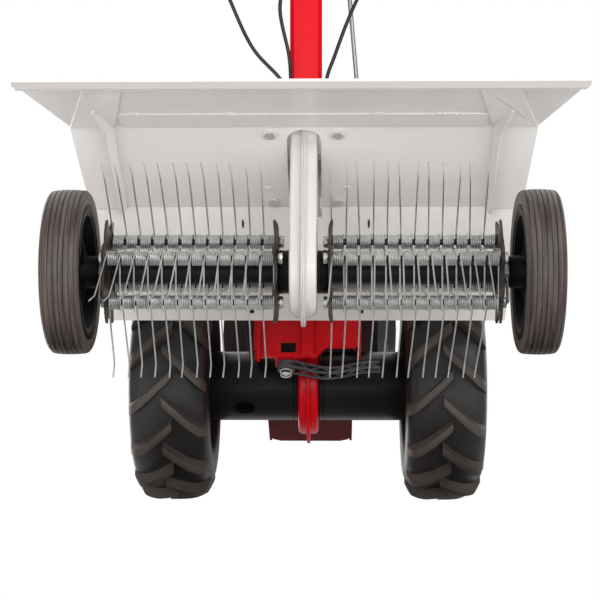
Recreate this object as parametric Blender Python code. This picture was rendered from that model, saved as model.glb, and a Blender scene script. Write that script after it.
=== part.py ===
"""Walk-behind lawn scarifier: a two-wheel power unit with a spring-tine scarifier behind it.

+X is to the operator's right, +Y is the direction of travel and +Z is up. Lengths are in metres.
The machine is drawn with its rotor's axis at y = 0, and its main empty then centres it.
Polar angles round the rotor start at the operator's side and climb over the top.
"""

import math

import bmesh
import bpy
from mathutils import Matrix, Vector

# Fits, and the flats round a wheel
gap = 0.0003
sheet = 0.0025
wheel_sides = 18

# Depth wheels, which set the height of the rotor
depth_wheel_radius = 0.100
depth_wheel_width = 0.047
depth_rim_radius = 0.073
depth_hub_radius = 0.021
rotor_height = depth_wheel_radius

# Rotor
shaft_radius = 0.010
frame_tube_radius = 0.0145
plate_thickness = 0.003
plate_tip_radius = 0.066
plate_valley_radius = 0.049
plate_tips = 8
inner_plate_x = 0.030
rod_circle = 0.040
rod_radius = 0.004
rod_angles = (83.0, 173.0, 263.0, 353.0)
hex_radius = 0.0075
hex_height = 0.0055

# Spring tines
tines_per_row = 12
coil_pitch = 0.0168
coil_width = 0.0142
coil_radius = 0.0084
wire_radius = 0.0011
tine_tip_radius = 0.134
tine_tip_lag = 38.0
tine_tip_lean = 40.0
tine_tip_length = 0.018
arm_tail = 0.010

# Retaining clips
clip_wire_radius = 0.0015
clip_length = 0.033

# White chain case, a slim box that leans toward the operator
case_half_width = 0.0165
case_wall = 0.002
case_lower_radius = 0.056
case_upper_radius = 0.046
case_upper_y = -0.016
case_upper_z = 0.292
case_flange = 0.011
flange_half = 0.0022
bearing_radius = 0.0266
lower_teeth = 14
upper_teeth = 11
chain_pitch = 0.0127
chain_depth = 0.007
upper_shaft_radius = 0.008

# Hood
hood_top_z = 0.250
hood_lip_y = -0.268
hood_lip_z = 0.181
hood_lip_drop = 0.0105
hood_lip_half = 0.317
hood_front_y = -0.093
hood_front_half = 0.283
hood_back_y = 0.085
hood_back_half = 0.281
flap_y = 0.235
flap_z = 0.1645
flap_half = 0.268
slot_half = 0.021
slot_front_y = -0.0855
slot_back_y = 0.100
rail_inner = 0.2290
rail_depth = 0.011
rail_splay = 0.007
bolt_half_x = 0.0415
bolt_front_y = -0.0786
bolt_back_y = 0.0685
bolt_radius = 0.004

# Gear head and hitch
head_half_width = 0.046
head_boss_radius = 0.034
neck_radius = 0.026
neck_flange_radius = 0.042
hitch_y = 0.300
hitch_half_width = 0.075
hitch_bottom_z = 0.144
hitch_top_z = 0.385
hitch_thickness = 0.006
hitch_column_half = 0.012
hitch_column_depth = 0.010
hitch_fin_x = 0.0695
hitch_pin_radius = 0.0045
hitch_lever_height = 0.012
hitch_lever_end = 0.102

# Drive wheels and axle
axle_y = 0.432
tyre_radius = 0.165
tyre_half_width = 0.0565
tyre_crown_radius = 0.150
tyre_centre_x = 0.193
lugs_per_side = 14
tyre_flats = lugs_per_side
bead_radius = 0.0763
axle_z = tyre_radius
axle_shaft_radius = 0.0125
axle_tube_radius = 0.050
axle_tube_end = 0.150

# Red drive case
drive_half_width = 0.0145
drive_lower_radius = 0.070
drive_upper_radius = 0.055
drive_upper_y = 0.425
drive_upper_z = 0.375
drive_flange = 0.014

# Engine bed, engine and its covers
bed_half_width = 0.065
bed_front_y = 0.650
bed_low_z = 0.178
bed_deck_z = 0.262
bed_plate = 0.004
deck_half_width = 0.095
engine_back_y = 0.545
engine_front_y = 0.710
engine_half_width = 0.075
engine_top_z = 0.470
fan_radius = 0.100
starter_lift = 25.0
starter_travel = 0.070
starter_cord_radius = 0.002
tank_height = 0.085

# Mast and handlebar
mast_lean = 30.0
mast_width = 0.049
mast_depth = 0.045
mast_x = -0.006
mast_ahead = 0.027
mast_length = 0.500
guide_low = 0.130
guide_below_head = 0.075
shift_low = 0.085
shift_below_head = 0.045
bar_radius = 0.0125
grip_radius = 0.0165
grip_length = 0.125
bar_half_width = 0.270
bar_end_y = -0.640
bar_end_z = 0.985
cable_radius = 0.003
rod_line_radius = 0.0035


# Materials

def paint(name, colour, roughness, metallic=0.0):
    material = bpy.data.materials.new(name)
    material.use_nodes = True
    shader = material.node_tree.nodes["Principled BSDF"]
    shader.inputs["Base Color"].default_value = (*colour, 1.0)
    shader.inputs["Roughness"].default_value = roughness
    shader.inputs["Metallic"].default_value = metallic
    material.diffuse_color = (*colour, 1.0)
    return material


# Mesh helpers

def solid(bm):
    """Turn a closed bmesh into a mesh whose faces point out."""
    bmesh.ops.recalc_face_normals(bm, faces=bm.faces)
    mesh = bpy.data.meshes.new("solid")
    bm.to_mesh(mesh)
    bm.free()
    return mesh


def on_axis(axis, a, b, along):
    """A point from two coordinates across an axis and one along it."""
    return {"X": (along, a, b), "Y": (a, along, b), "Z": (a, b, along)}[axis]


def stack(rings, axis="X"):
    """A closed solid through outlines of as many points each: (place along the axis, outline)."""
    bm = bmesh.new()
    loops = [[bm.verts.new(on_axis(axis, a, b, along)) for a, b in ring] for along, ring in rings]
    count = len(loops[0])
    for first, second in zip(loops, loops[1:]):
        for i in range(count):
            j = (i + 1) % count
            bm.faces.new((first[i], first[j], second[j], second[i]))
    bm.faces.new(loops[0])
    bm.faces.new(loops[-1])
    return solid(bm)


def prism(outline, low, high, axis="X"):
    return stack([(low, outline), (high, outline)], axis)


def box(low, high):
    (x0, y0, z0), (x1, y1, z1) = low, high
    return prism([(y0, z0), (y1, z0), (y1, z1), (y0, z1)], x0, x1)


def polygon(sides, radius, centre=(0.0, 0.0), start=0.0):
    """Corners of a regular polygon round a centre, the first one at the start angle."""
    turn = math.tau / sides
    return [(centre[0] + radius * math.cos(start + i * turn),
             centre[1] + radius * math.sin(start + i * turn)) for i in range(sides)]


def turned(profile, sides, at=(0.0, 0.0, 0.0)):
    """Spin a profile of (place along X, radius) about an X axis; it is a loop unless it meets the axis.

    The first corner of every ring sits half a step off the lowest point, so a flat lies at the bottom.
    """
    bm = bmesh.new()
    start = -math.pi / 2 + math.pi / sides
    verts = [bm.verts.new((x, r * math.cos(start), r * math.sin(start))) for x, r in profile]
    pairs = list(zip(verts, verts[1:]))
    if profile[0][1] > 0:
        pairs.append((verts[-1], verts[0]))
    edges = [bm.edges.new(pair) for pair in pairs]
    bmesh.ops.spin(bm, geom=verts + edges, cent=(0, 0, 0), axis=(1, 0, 0), angle=math.tau,
                   steps=sides, use_merge=True)
    bmesh.ops.remove_doubles(bm, verts=bm.verts, dist=1e-6)
    bmesh.ops.translate(bm, vec=at, verts=bm.verts)
    return solid(bm)


def bar(points, radius, sides, roll=0.0):
    """A rod of regular section along a path of points, with flat ends and mitred bends."""
    path = [Vector(p) for p in points]
    bm = bmesh.new()
    ahead = (path[1] - path[0]).normalized()
    across = Vector((1, 0, 0)) if abs(ahead.x) < 0.9 else Vector((0, 0, 1))
    across = (across - ahead * across.dot(ahead)).normalized()
    loops = []
    for i, point in enumerate(path):
        before = (path[i] - path[i - 1]).normalized() if i else ahead
        after = (path[i + 1] - path[i]).normalized() if i + 1 < len(path) else before
        middle = (before + after).normalized()
        across = (across - middle * across.dot(middle)).normalized()
        other = middle.cross(across)
        ring = []
        for k in range(sides):
            angle = roll + math.tau * k / sides
            offset = across * math.cos(angle) + other * math.sin(angle)
            ring.append(bm.verts.new(point + offset * radius))
        loops.append(ring)
    for first, second in zip(loops, loops[1:]):
        for i in range(sides):
            j = (i + 1) % sides
            bm.faces.new((first[i], first[j], second[j], second[i]))
    bm.faces.new(loops[0])
    bm.faces.new(loops[-1])
    return solid(bm)


def smooth_path(points, per_span):
    """Points of a Catmull-Rom curve through the given ones."""
    path = [Vector(p) for p in points]
    ends = [path[0] * 2 - path[1]] + path + [path[-1] * 2 - path[-2]]
    result = []
    for a, b, c, d in zip(ends, ends[1:], ends[2:], ends[3:]):
        for i in range(per_span):
            t = i / per_span
            result.append(0.5 * (2 * b + (c - a) * t + (2 * a - 5 * b + 4 * c - d) * t * t
                                 + (3 * b - a - 3 * c + d) * t ** 3))
    return result + [path[-1]]


def combined(base, tool, operation):
    """One exact Boolean of two meshes, as a new mesh."""
    holders = []
    for mesh in (base, tool):
        holder = bpy.data.objects.new("holder", mesh)
        bpy.context.collection.objects.link(holder)
        holders.append(holder)
    step = holders[0].modifiers.new("step", "BOOLEAN")
    step.operation = operation
    step.solver = "EXACT"
    step.object = holders[1]
    graph = bpy.context.evaluated_depsgraph_get()
    result = bpy.data.meshes.new_from_object(holders[0].evaluated_get(graph))
    for holder in holders:
        bpy.data.objects.remove(holder)
    return result


def united(first, *others):
    for other in others:
        first = combined(first, other, "UNION")
    return first


def cut(base, *tools):
    for tool in tools:
        base = combined(base, tool, "DIFFERENCE")
    return base


def gathered(meshes):
    """Several meshes that don't touch, in one, as the tool of a single Boolean."""
    bm = bmesh.new()
    for mesh in meshes:
        bm.from_mesh(mesh)
    return solid(bm)


def moved(mesh, matrix):
    result = mesh.copy()
    result.transform(matrix)
    if matrix.determinant() < 0:
        result.flip_normals()
    return result


def mirrored(mesh):
    return moved(mesh, Matrix.Scale(-1, 4, (1, 0, 0)))


# Placing

def pivot(name, at, parent=None):
    """An empty on a joint's axis, or at the middle of the machine."""
    empty = bpy.data.objects.new(name, None)
    empty.empty_display_size = 0.05
    bpy.context.collection.objects.link(empty)
    empty.location = at
    empty.parent = parent
    return empty


def place(name, mesh, material, carrier, at=None, turn=0.0):
    """Hang a mesh on its carrier. Without a place, the mesh is drawn in the machine's own frame."""
    obj = bpy.data.objects.new(name, mesh)
    bpy.context.collection.objects.link(obj)
    obj.parent = carrier
    moving = carrier.parent is not None
    obj.location = at if at is not None else (-carrier.location if moving else (0, 0, 0))
    obj.rotation_euler.x = turn
    if not mesh.materials:
        mesh.materials.append(material)
    mesh.shade_smooth()
    mesh.set_sharp_from_angle(angle=math.radians(32))
    return obj


# Shapes that several pieces share

def belt(first, first_radius, second, second_radius, steps):
    """Outline round two circles in the YZ plane, joined by their outer tangents."""
    away = Vector(second) - Vector(first)
    lean = math.atan2(away.y, away.x)
    spread = math.acos((first_radius - second_radius) / away.length)
    points = []
    for centre, radius, start, sweep in (
            (first, first_radius, lean + spread, math.tau - 2 * spread),
            (second, second_radius, lean - spread, 2 * spread)):
        for i in range(steps):
            angle = start + sweep * i / (steps - 1)
            points.append((centre[0] + radius * math.cos(angle), centre[1] + radius * math.sin(angle)))
    return points


def toothed(teeth, root, tip, half_width, at):
    """A sprocket: a root disc whose teeth narrow toward the tip."""
    outline = []
    for i in range(teeth):
        middle = math.tau * (i + 0.5) / teeth - math.pi / 2
        for share, radius in ((-0.40, root), (-0.12, tip), (0.12, tip)):
            angle = middle + share * math.tau / teeth
            outline.append((at[0] + radius * math.cos(angle), at[1] + radius * math.sin(angle)))
    return prism(outline, -half_width, half_width)


def sprocket_radius(teeth):
    return chain_pitch / (2 * math.sin(math.pi / teeth))


rotor_axis = (0.0, rotor_height)
case_upper = (case_upper_y, case_upper_z)
axle_axis = (axle_y, axle_z)
drive_upper = (drive_upper_y, drive_upper_z)
row_start = inner_plate_x + plate_thickness + gap
row_length = tines_per_row * coil_pitch
outer_plate_x = row_start + row_length + gap
clip_x = outer_plate_x + plate_thickness + hex_height + 2 * gap + clip_wire_radius
wheel_face_x = clip_x + clip_wire_radius + 0.0117
wheel_centre_x = wheel_face_x + depth_wheel_width / 2


def rotor_spot(angle, radius):
    """Y and Z of a point at a polar angle and radius round the rotor's axis."""
    turn = math.radians(angle)
    return (-radius * math.cos(turn), rotor_height + radius * math.sin(turn))


# Rotor

def rotor_shaft():
    half = wheel_centre_x + depth_wheel_width / 2 - 0.003
    mesh = turned([(-half, 0), (-half, shaft_radius), (half, shaft_radius), (half, 0)], 12,
                  (0, *rotor_axis))
    holes = [prism(polygon(6, clip_wire_radius + gap, (side * clip_x, 0.0)),
                   rotor_height - 0.02, rotor_height + 0.02, "Z") for side in (-1, 1)]
    return cut(mesh, *holes)


def star_plate(x, side):
    outline = []
    for i in range(plate_tips):
        middle = math.radians(90 - rod_angles[0]) + math.pi / 2 + math.tau * i / plate_tips
        for share, radius in ((-0.07, plate_tip_radius), (0.07, plate_tip_radius),
                              (0.5, plate_valley_radius)):
            angle = middle + share * math.tau / plate_tips
            outline.append((radius * math.cos(angle), rotor_height + radius * math.sin(angle)))
    return prism(outline, *sorted((side * x, side * (x + plate_thickness))))


def rotor_frame(side):
    """Black tube with a star plate welded near each end, bored for the shaft and the four rods."""
    ends = sorted((side * (inner_plate_x + gap), side * (outer_plate_x + plate_thickness - gap)))
    tube = turned([(ends[0], 0), (ends[0], frame_tube_radius), (ends[1], frame_tube_radius),
                   (ends[1], 0)], 10, (0, *rotor_axis))
    frame = united(tube, star_plate(inner_plate_x, side), star_plate(outer_plate_x, side))
    bore = prism(polygon(12, shaft_radius + 2 * gap, rotor_axis, math.pi / 12), -0.3, 0.3)
    holes = []
    for angle in rod_angles:
        spot = rotor_spot(angle, rod_circle)
        start = math.radians(180 - angle) + math.pi / 6
        holes.append(prism(polygon(6, rod_radius + 2 * gap, spot, start), -0.3, 0.3))
    return cut(frame, bore, *holes)


def wire(path, x):
    """A three-sided wire in a plane across the row, through (outward, forward) points."""
    return bar([(x, forward, outward) for outward, forward in path], wire_radius, 3, math.pi)


def tine_path():
    """Straight shank from the coil's tangent to an elbow, then the short tip that bends back."""
    tip = Vector((tine_tip_radius * math.cos(math.radians(tine_tip_lag)) - rod_circle,
                  -tine_tip_radius * math.sin(math.radians(tine_tip_lag))))
    lean = math.radians(tine_tip_lean)
    elbow = tip - tine_tip_length * Vector((math.cos(lean), -math.sin(lean)))
    reach = coil_radius - wire_radius
    bearing = math.atan2(elbow.y, elbow.x) - math.asin(reach / elbow.length)
    shank = Vector((math.cos(bearing), math.sin(bearing)))
    start = 0.8 * reach * Vector((-shank.y, shank.x)) - 0.002 * shank
    return [start, elbow, tip]


def arm_path():
    """The anchor arm lies over the outer side of the row behind it and ends a little past it."""
    along = Vector((-1, -1)).normalized()
    outward = Vector((1, -1)).normalized()
    neighbour = Vector((-rod_circle, -rod_circle))
    lift = coil_radius + wire_radius + 2 * gap
    start = 0.75 * (coil_radius - wire_radius) * outward
    return [start, neighbour + lift * outward + arm_tail * along]


def tine_row(head_at_start):
    """One rod with its twelve spring tines, drawn along X with the rotor's axis below it."""
    plate = plate_thickness + 2 * gap
    profile = [(-plate - hex_height, 0), (-plate - hex_height, hex_radius), (-plate, hex_radius),
               (-plate, rod_radius)]
    for i in range(tines_per_row):
        start = i * coil_pitch + (coil_pitch - coil_width) / 2
        profile += [(i * coil_pitch, rod_radius), (start, coil_radius), (start + coil_width, coil_radius)]
    end = row_length + plate
    profile += [(row_length, rod_radius), (end, rod_radius), (end, hex_radius),
                (end + hex_height, hex_radius), (end + hex_height, 0)]
    if not head_at_start:
        profile = [(row_length - x, r) for x, r in reversed(profile)]
    core = turned(profile, 6)
    wires = []
    for i in range(tines_per_row):
        start = i * coil_pitch + (coil_pitch - coil_width) / 2
        wires.append(wire(tine_path(), start + 1.4 * wire_radius))
        wires.append(wire(arm_path(), start + coil_width - 1.4 * wire_radius))
    return united(core, gathered(wires))


def retaining_clip():
    """Hairpin clip: a straight leg through the shaft and a waved leg round it."""
    clear = shaft_radius + clip_wire_radius + gap
    low = -clip_length
    leg = [(0, shaft_radius + 0.005), (0, low), (0.002, low - 0.005), (0.006, low - 0.006),
           (0.0095, low - 0.003), (0.009, -0.014), (clear + 0.001, -0.006), (clear + 0.001, 0.005),
           (0.008, 0.013)]
    return bar([(0, y, z) for y, z in leg], clip_wire_radius, 6)


def rotor_bearing(side):
    start, end = case_half_width + gap, inner_plate_x - gap
    bore = shaft_radius + 2 * gap
    ring = turned([(start, bore), (end, bore), (end, bearing_radius - 0.002),
                   (end - 0.003, bearing_radius), (start, bearing_radius)], 12, (0, *rotor_axis))
    return ring if side > 0 else mirrored(ring)


# Depth wheels

def depth_tyre():
    """Rubber ring with three grooves round its tread."""
    half = depth_wheel_width / 2
    outer = depth_wheel_radius / math.cos(math.pi / wheel_sides)
    groove = outer - 0.004
    profile = [(-half + 0.003, depth_rim_radius + gap), (half - 0.003, depth_rim_radius + gap),
               (half, outer - 0.012), (half - 0.006, outer), (half / 2, groove), (half / 4, outer),
               (0, groove), (-half / 4, outer), (-half / 2, groove), (-half + 0.006, outer),
               (-half, outer - 0.012)]
    return turned(profile, wheel_sides)


def depth_rim():
    """Black plastic rim: ring, web, hub and six ribs on both faces."""
    half = depth_wheel_width / 2 - 0.003
    bore = shaft_radius + 2 * gap
    hub = wheel_centre_x - clip_x - clip_wire_radius - gap
    profile = [(-half, depth_rim_radius), (-half, depth_rim_radius - 0.006),
               (-0.003, depth_rim_radius - 0.010), (-0.003, depth_hub_radius),
               (-hub, depth_hub_radius - 0.002), (-hub, bore), (half, bore),
               (half, depth_hub_radius), (0.003, depth_hub_radius),
               (0.003, depth_rim_radius - 0.010), (half, depth_rim_radius - 0.006),
               (half, depth_rim_radius)]
    ring = turned(profile, wheel_sides)
    ribs = []
    low, high = depth_hub_radius - 0.003, depth_rim_radius - 0.005
    for i in range(6):
        rib = prism([(low, -half + 0.002), (high, -half + 0.008), (high, half - 0.008),
                     (low, half - 0.002)], -0.002, 0.002, "Y")
        upright = moved(rib, Matrix(((0, 0, 1, 0), (0, 1, 0, 0), (1, 0, 0, 0), (0, 0, 0, 1))))
        ribs.append(moved(upright, Matrix.Rotation(math.tau * (i + 0.5) / 6, 4, "X")))
    return united(ring, gathered(ribs))


# Chain case and what it holds

def case_outline(grow):
    return belt(rotor_axis, case_lower_radius + grow, case_upper, case_upper_radius + grow, 8)


def chain_case_half(side):
    """One pressed shell with chamfered edges, a rim flange at the split and three shaft holes."""
    start, chamfer = gap / 2, 0.005
    shell = stack([(start, case_outline(0)), (case_half_width - chamfer, case_outline(0)),
                   (case_half_width, case_outline(-chamfer))])
    rim = prism(case_outline(case_flange), start, flange_half)
    inside = case_half_width - case_wall
    cavity = stack([(-0.01, case_outline(-case_wall)),
                    (inside - chamfer, case_outline(-case_wall)),
                    (inside, case_outline(-case_wall - chamfer))])
    holes = [prism(polygon(12, shaft_radius + 2 * gap, rotor_axis, math.pi / 12), -0.05, 0.05),
             prism(polygon(12, upper_shaft_radius + 2 * gap, case_upper, math.pi / 12), -0.05, 0.05)]
    half = cut(united(shell, rim), cavity, *holes)
    return half if side > 0 else mirrored(half)


def lower_sprocket():
    radius = sprocket_radius(lower_teeth)
    disc = toothed(lower_teeth, radius - 0.003, radius + 0.0025, 0.0025, rotor_axis)
    hub = turned([(-0.010, 0), (-0.010, 0.016), (0.010, 0.016), (0.010, 0)], 10, (0, *rotor_axis))
    bore = prism(polygon(12, shaft_radius + gap, rotor_axis, math.pi / 12), -0.05, 0.05)
    return cut(united(disc, hub), bore)


def upper_sprocket():
    radius = sprocket_radius(upper_teeth)
    disc = toothed(upper_teeth, radius - 0.003, radius + 0.0025, 0.0025, case_upper)
    half = case_half_width + 0.012
    shaft = turned([(-half, 0), (-half, upper_shaft_radius), (half, upper_shaft_radius), (half, 0)],
                   12, (0, *case_upper))
    return united(disc, shaft)


def drive_chain():
    """The chain as one band that lies on both sprockets' teeth."""
    low = sprocket_radius(lower_teeth) + 0.0025 + gap
    high = sprocket_radius(upper_teeth) + 0.0025 + gap
    slack = 1 / math.cos(math.pi / 20)
    band = prism(belt(rotor_axis, low + chain_depth, case_upper, high + chain_depth, 10), -0.005, 0.005)
    inner = prism(belt(rotor_axis, low * slack, case_upper, high * slack, 10), -0.01, 0.01)
    return cut(band, inner)


# Hood

def hood_profile(drop=0.0):
    """Stations of the hood's under face: y, z and half width, from the lip to the flap."""
    return [(hood_lip_y, hood_lip_z - drop, hood_lip_half),
            (hood_front_y, hood_top_z - drop, hood_front_half),
            (hood_back_y, hood_top_z - drop, hood_back_half),
            (flap_y, flap_z - drop, flap_half)]


def skin(stations, thickness, inner=None):
    """A sheet of even depth through stations of (y, z, half width), full width or one side's strip."""
    bm = bmesh.new()
    loops = []
    for i, (y, z, half) in enumerate(stations):
        start = -half if inner is None else inner[i]
        ring = [bm.verts.new((x, y, level)) for x, level in (
            (start, z), (half, z), (half, z + thickness), (start, z + thickness))]
        loops.append(ring)
    for first, second in zip(loops, loops[1:]):
        for i in range(4):
            j = (i + 1) % 4
            bm.faces.new((first[i], first[j], second[j], second[i]))
    bm.faces.new(loops[0])
    bm.faces.new(loops[-1])
    return solid(bm)


def slot_tool():
    """Long slot for the chain case and its flange, with a round end at the operator's side."""
    arc = [(slot_half * math.cos(a), slot_front_y + slot_half + slot_half * math.sin(a))
           for a in (math.pi * (1 + i / 7) for i in range(8))]
    return prism(arc + [(slot_half, slot_back_y), (-slot_half, slot_back_y)], 0.15, 0.30, "Z")


def bolt_spots():
    return [(side * bolt_half_x, y) for side in (-1, 1) for y in (bolt_front_y, bolt_back_y)]


def hood():
    sheet_metal = skin(hood_profile(), sheet)
    corner = 0.006
    lip = prism([(-hood_lip_half + corner, hood_lip_z - hood_lip_drop),
                 (hood_lip_half - corner, hood_lip_z - hood_lip_drop),
                 (hood_lip_half, hood_lip_z - hood_lip_drop + corner),
                 (hood_lip_half, hood_lip_z + sheet - 0.001),
                 (hood_lip_half - 0.001, hood_lip_z + sheet + 0.0005),
                 (-hood_lip_half + 0.001, hood_lip_z + sheet + 0.0005),
                 (-hood_lip_half, hood_lip_z + sheet - 0.001),
                 (-hood_lip_half, hood_lip_z - hood_lip_drop + corner)],
                hood_lip_y - sheet, hood_lip_y + 0.0003, "Y")
    holes = [prism(polygon(8, bolt_radius + 2 * gap, spot, math.pi / 8), 0.2, 0.3, "Z")
             for spot in bolt_spots()]
    return cut(united(sheet_metal, lip), slot_tool(), gathered(holes))


def hood_rail():
    """Angle under the right side of the hood: a flat wing, and a leg folded down and splayed."""
    drop = sheet + gap
    stations = [(hood_lip_y + 0.004, hood_lip_z + 0.0016 - drop, hood_lip_half - 0.079)]
    stations += [(y, z, half) for y, z, half in hood_profile(drop)[1:3]]
    wing = skin(stations, sheet, (hood_lip_half - 0.122, rail_inner, rail_inner + 0.003))
    slope = (hood_top_z - hood_lip_z) / (hood_front_y - hood_lip_y)
    ear_y = hood_front_y - 0.075
    low = hood_top_z - drop
    bm = bmesh.new()
    loops = []
    for y, x, z, depth, splay in (
            (ear_y, 0.241, low - slope * 0.075, 0.003, 0.002),
            (hood_front_y, rail_inner + 0.0005, low, rail_depth, rail_splay),
            (hood_back_y - 0.001, rail_inner + 0.0035, low, rail_depth, rail_splay)):
        ring = [bm.verts.new(corner) for corner in (
            (x, y, z + 0.001), (x + sheet, y, z + 0.001),
            (x + sheet + splay, y, z - depth), (x + splay, y, z - depth))]
        loops.append(ring)
    for first, second in zip(loops, loops[1:]):
        for i in range(4):
            j = (i + 1) % 4
            bm.faces.new((first[i], first[j], second[j], second[i]))
    bm.faces.new(loops[0])
    bm.faces.new(loops[-1])
    return united(wing, solid(bm))


# Bracket and gear head above the hood

def bracket_plate():
    """Plate on top of the hood, with its four bolts through the sheet."""
    low = hood_top_z + sheet + gap
    plate = box((-0.062, slot_front_y - 0.008, low), (0.062, slot_back_y + 0.012, low + 0.004))
    plate = cut(plate, slot_tool())
    head_top = hood_top_z - gap
    for spot in bolt_spots():
        shank = prism(polygon(8, bolt_radius, spot, math.pi / 8), head_top - 0.001, low + 0.001, "Z")
        head = prism(polygon(6, hex_radius, spot), head_top - 0.005, head_top, "Z")
        plate = united(plate, united(shank, head))
    return plate


def gear_head():
    """Closed casting astride the chain case's top, with the neck that enters the hitch."""
    foot = hood_top_z + sheet + gap + 0.004 + gap
    y, z = case_upper
    back_y = y + case_upper_radius + case_flange + 0.006
    side = case_half_width + gap
    yoke = box((-head_half_width, y, z - 0.026), (head_half_width, back_y + 0.040, z + 0.026))
    boss = prism(polygon(16, head_boss_radius, case_upper, math.pi / 16),
                 -head_half_width, head_half_width)
    legs = [box((min(s * 0.027, s * 0.043), y - 0.018, foot), (max(s * 0.027, s * 0.043), y + 0.060, z))
            for s in (-1, 1)]
    channel = box((-side, y - 0.08, foot - 0.01), (side, back_y, z + 0.08))
    neck = prism(polygon(12, neck_radius, (0.0, z), math.pi / 12), back_y + 0.02, hitch_y - gap, "Y")
    flange = prism(polygon(12, neck_flange_radius, (0.0, z), math.pi / 12),
                   hitch_y - gap - 0.008, hitch_y - gap, "Y")
    body = cut(united(yoke, boss, *legs), channel)
    blind = prism(polygon(12, upper_shaft_radius + 2 * gap, case_upper, math.pi / 12),
                  -side - 0.013, side + 0.013)
    return united(cut(body, blind), neck, flange)


# Hitch

def hitch_pin_spot():
    return (-0.030, hitch_y + hitch_thickness + 0.013)


def pin_prism(radius, low, high):
    return prism(polygon(8, radius, hitch_pin_spot(), math.pi / 8), low, high, "Z")


def hitch_bracket():
    """Red plate across the machine, with cheeks on the axle tubes and a post on the drive case.

    A column and a fin stand on its rear face, and a window is open above the lever's shelf.
    """
    y, low, high = hitch_y, hitch_bottom_z, hitch_top_z
    half, column = hitch_half_width, hitch_column_half
    plate = prism([(-half, low + 0.012), (-half + 0.010, low), (column, low), (column + 0.014, low + 0.015),
                   (half - 0.008, low + 0.015), (half, low + 0.025), (half, high - 0.06), (0.045, high),
                   (-0.045, high), (-half, high - 0.06)], y, y + hitch_thickness, "Y")
    window = box((-0.037, y - 0.01, low + 0.006), (-column - 0.004, y + 0.02, low + 0.024))
    front = y - hitch_column_depth
    ridge = prism([(-column, y + 0.001), (-column + 0.004, front),
                   (column - 0.004, front), (column, y + 0.001)],
                  low, case_upper_z - neck_flange_radius - 0.004, "Z")
    fin = prism([(y + 0.001, low + 0.004), (y + 0.001, low + 0.080), (y - 0.014, low + 0.070),
                 (y - 0.014, low - 0.008), (y - 0.006, low - 0.012)],
                -hitch_fin_x, -hitch_fin_x + 0.004)
    seat = bed_deck_z - bed_plate - gap
    side = [(y + 0.001, low + 0.018), (y + 0.045, low + 0.020), (axle_y - 0.04, axle_z + 0.02),
            (axle_y + 0.03, axle_z + 0.03), (axle_y + 0.03, seat), (axle_y - 0.048, seat),
            (y + 0.040, seat + 0.06), (y + 0.001, high - 0.061)]
    cheeks = [prism(side, *sorted((s * half, s * (half - 0.004)))) for s in (-1, 1)]
    saddle = prism(polygon(20, axle_tube_radius / math.cos(math.pi / 20) + gap, axle_axis, 0), -0.2, 0.2)
    pin_y = hitch_pin_spot()[1]
    shelf = box((-0.045, y + 0.002, low), (-0.015, pin_y + 0.014, low + 0.004))
    post = box((-drive_half_width, y + 0.004, low + 0.026),
               (drive_half_width, axle_y - 0.060, hitch_top_z - 0.070))
    body = prism(drive_outline(gap), -drive_half_width - gap, drive_half_width + gap)
    rim = prism(drive_outline(drive_flange + gap), -flange_half - gap, flange_half + gap)
    hole = pin_prism(hitch_pin_radius + 2 * gap, low - 0.02, low + 0.02)
    plate = united(cut(plate, window), ridge, fin)
    return cut(united(plate, *cheeks, cut(post, body, rim), shelf), saddle, hole)


def lever_band(start, end, inset, steps):
    """Outline of a stretch of the hitch lever, which bows forward and narrows toward its end."""
    x, y = hitch_pin_spot()
    length = hitch_lever_end - x
    edges = ([], [])
    for i in range(steps + 1):
        share = start + (end - start) * i / steps
        bow = 0.019 * math.sin(math.pi * min(1.0, share / 0.92)) ** 2
        half = 0.0125 - 0.0045 * share - inset
        edges[0].append((x + length * share, y + bow - half))
        edges[1].append((x + length * share, y + bow + half))
    return edges[0] + edges[1][::-1]


def hitch_lever():
    """Black plastic lever whose ribs leave open cells, turning on the hitch pin under the shelf."""
    high = hitch_bottom_z - 2 * gap
    low = high - hitch_lever_height
    body = united(prism(lever_band(0, 1, 0, 7), low, high, "Z"),
                  prism(polygon(12, 0.0125, hitch_pin_spot(), math.pi / 12), low, high, "Z"))
    cells = [prism(lever_band(start, start + 0.13, 0.0035, 1), low - 0.01, high - 0.004, "Z")
             for start in (0.17, 0.34, 0.51, 0.68)]
    bore = (hitch_pin_radius + gap) / math.cos(math.pi / 8)
    return cut(body, gathered(cells), pin_prism(bore, low - 0.01, high + 0.01))


def hitch_pin():
    """Zinc pin through the shelf and the lever, with a spring ring under the lever."""
    x, y = hitch_pin_spot()
    low = hitch_bottom_z - 2 * gap - hitch_lever_height
    top = hitch_bottom_z + 0.004 + gap
    pin = pin_prism(hitch_pin_radius, low - 0.008, top + 0.001)
    head = pin_prism(0.0085, top, top + 0.0045)
    ring = [(x + 0.008 * math.cos(a), y - 0.006 + 0.008 * math.sin(a), low - 0.005)
            for a in (math.radians(70) + math.radians(320) * i / 10 for i in range(11))]
    return united(pin, head, bar(ring, 0.0013, 5))


# Drive axle and wheels

def drive_outline(grow):
    return belt(axle_axis, drive_lower_radius + grow, drive_upper, drive_upper_radius + grow, 8)


def drive_case_half(side):
    """Pressed half with chamfered edges and a rim flange, bored for the axle."""
    start, chamfer = gap / 2, 0.005
    shell = stack([(start, drive_outline(0)), (drive_half_width - chamfer, drive_outline(0)),
                   (drive_half_width, drive_outline(-chamfer))])
    rim = prism(drive_outline(drive_flange), start, flange_half)
    bore = prism(polygon(12, axle_shaft_radius + 2 * gap, axle_axis, math.pi / 12), -0.05, 0.05)
    half = cut(united(shell, rim), bore)
    return half if side > 0 else mirrored(half)


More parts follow.
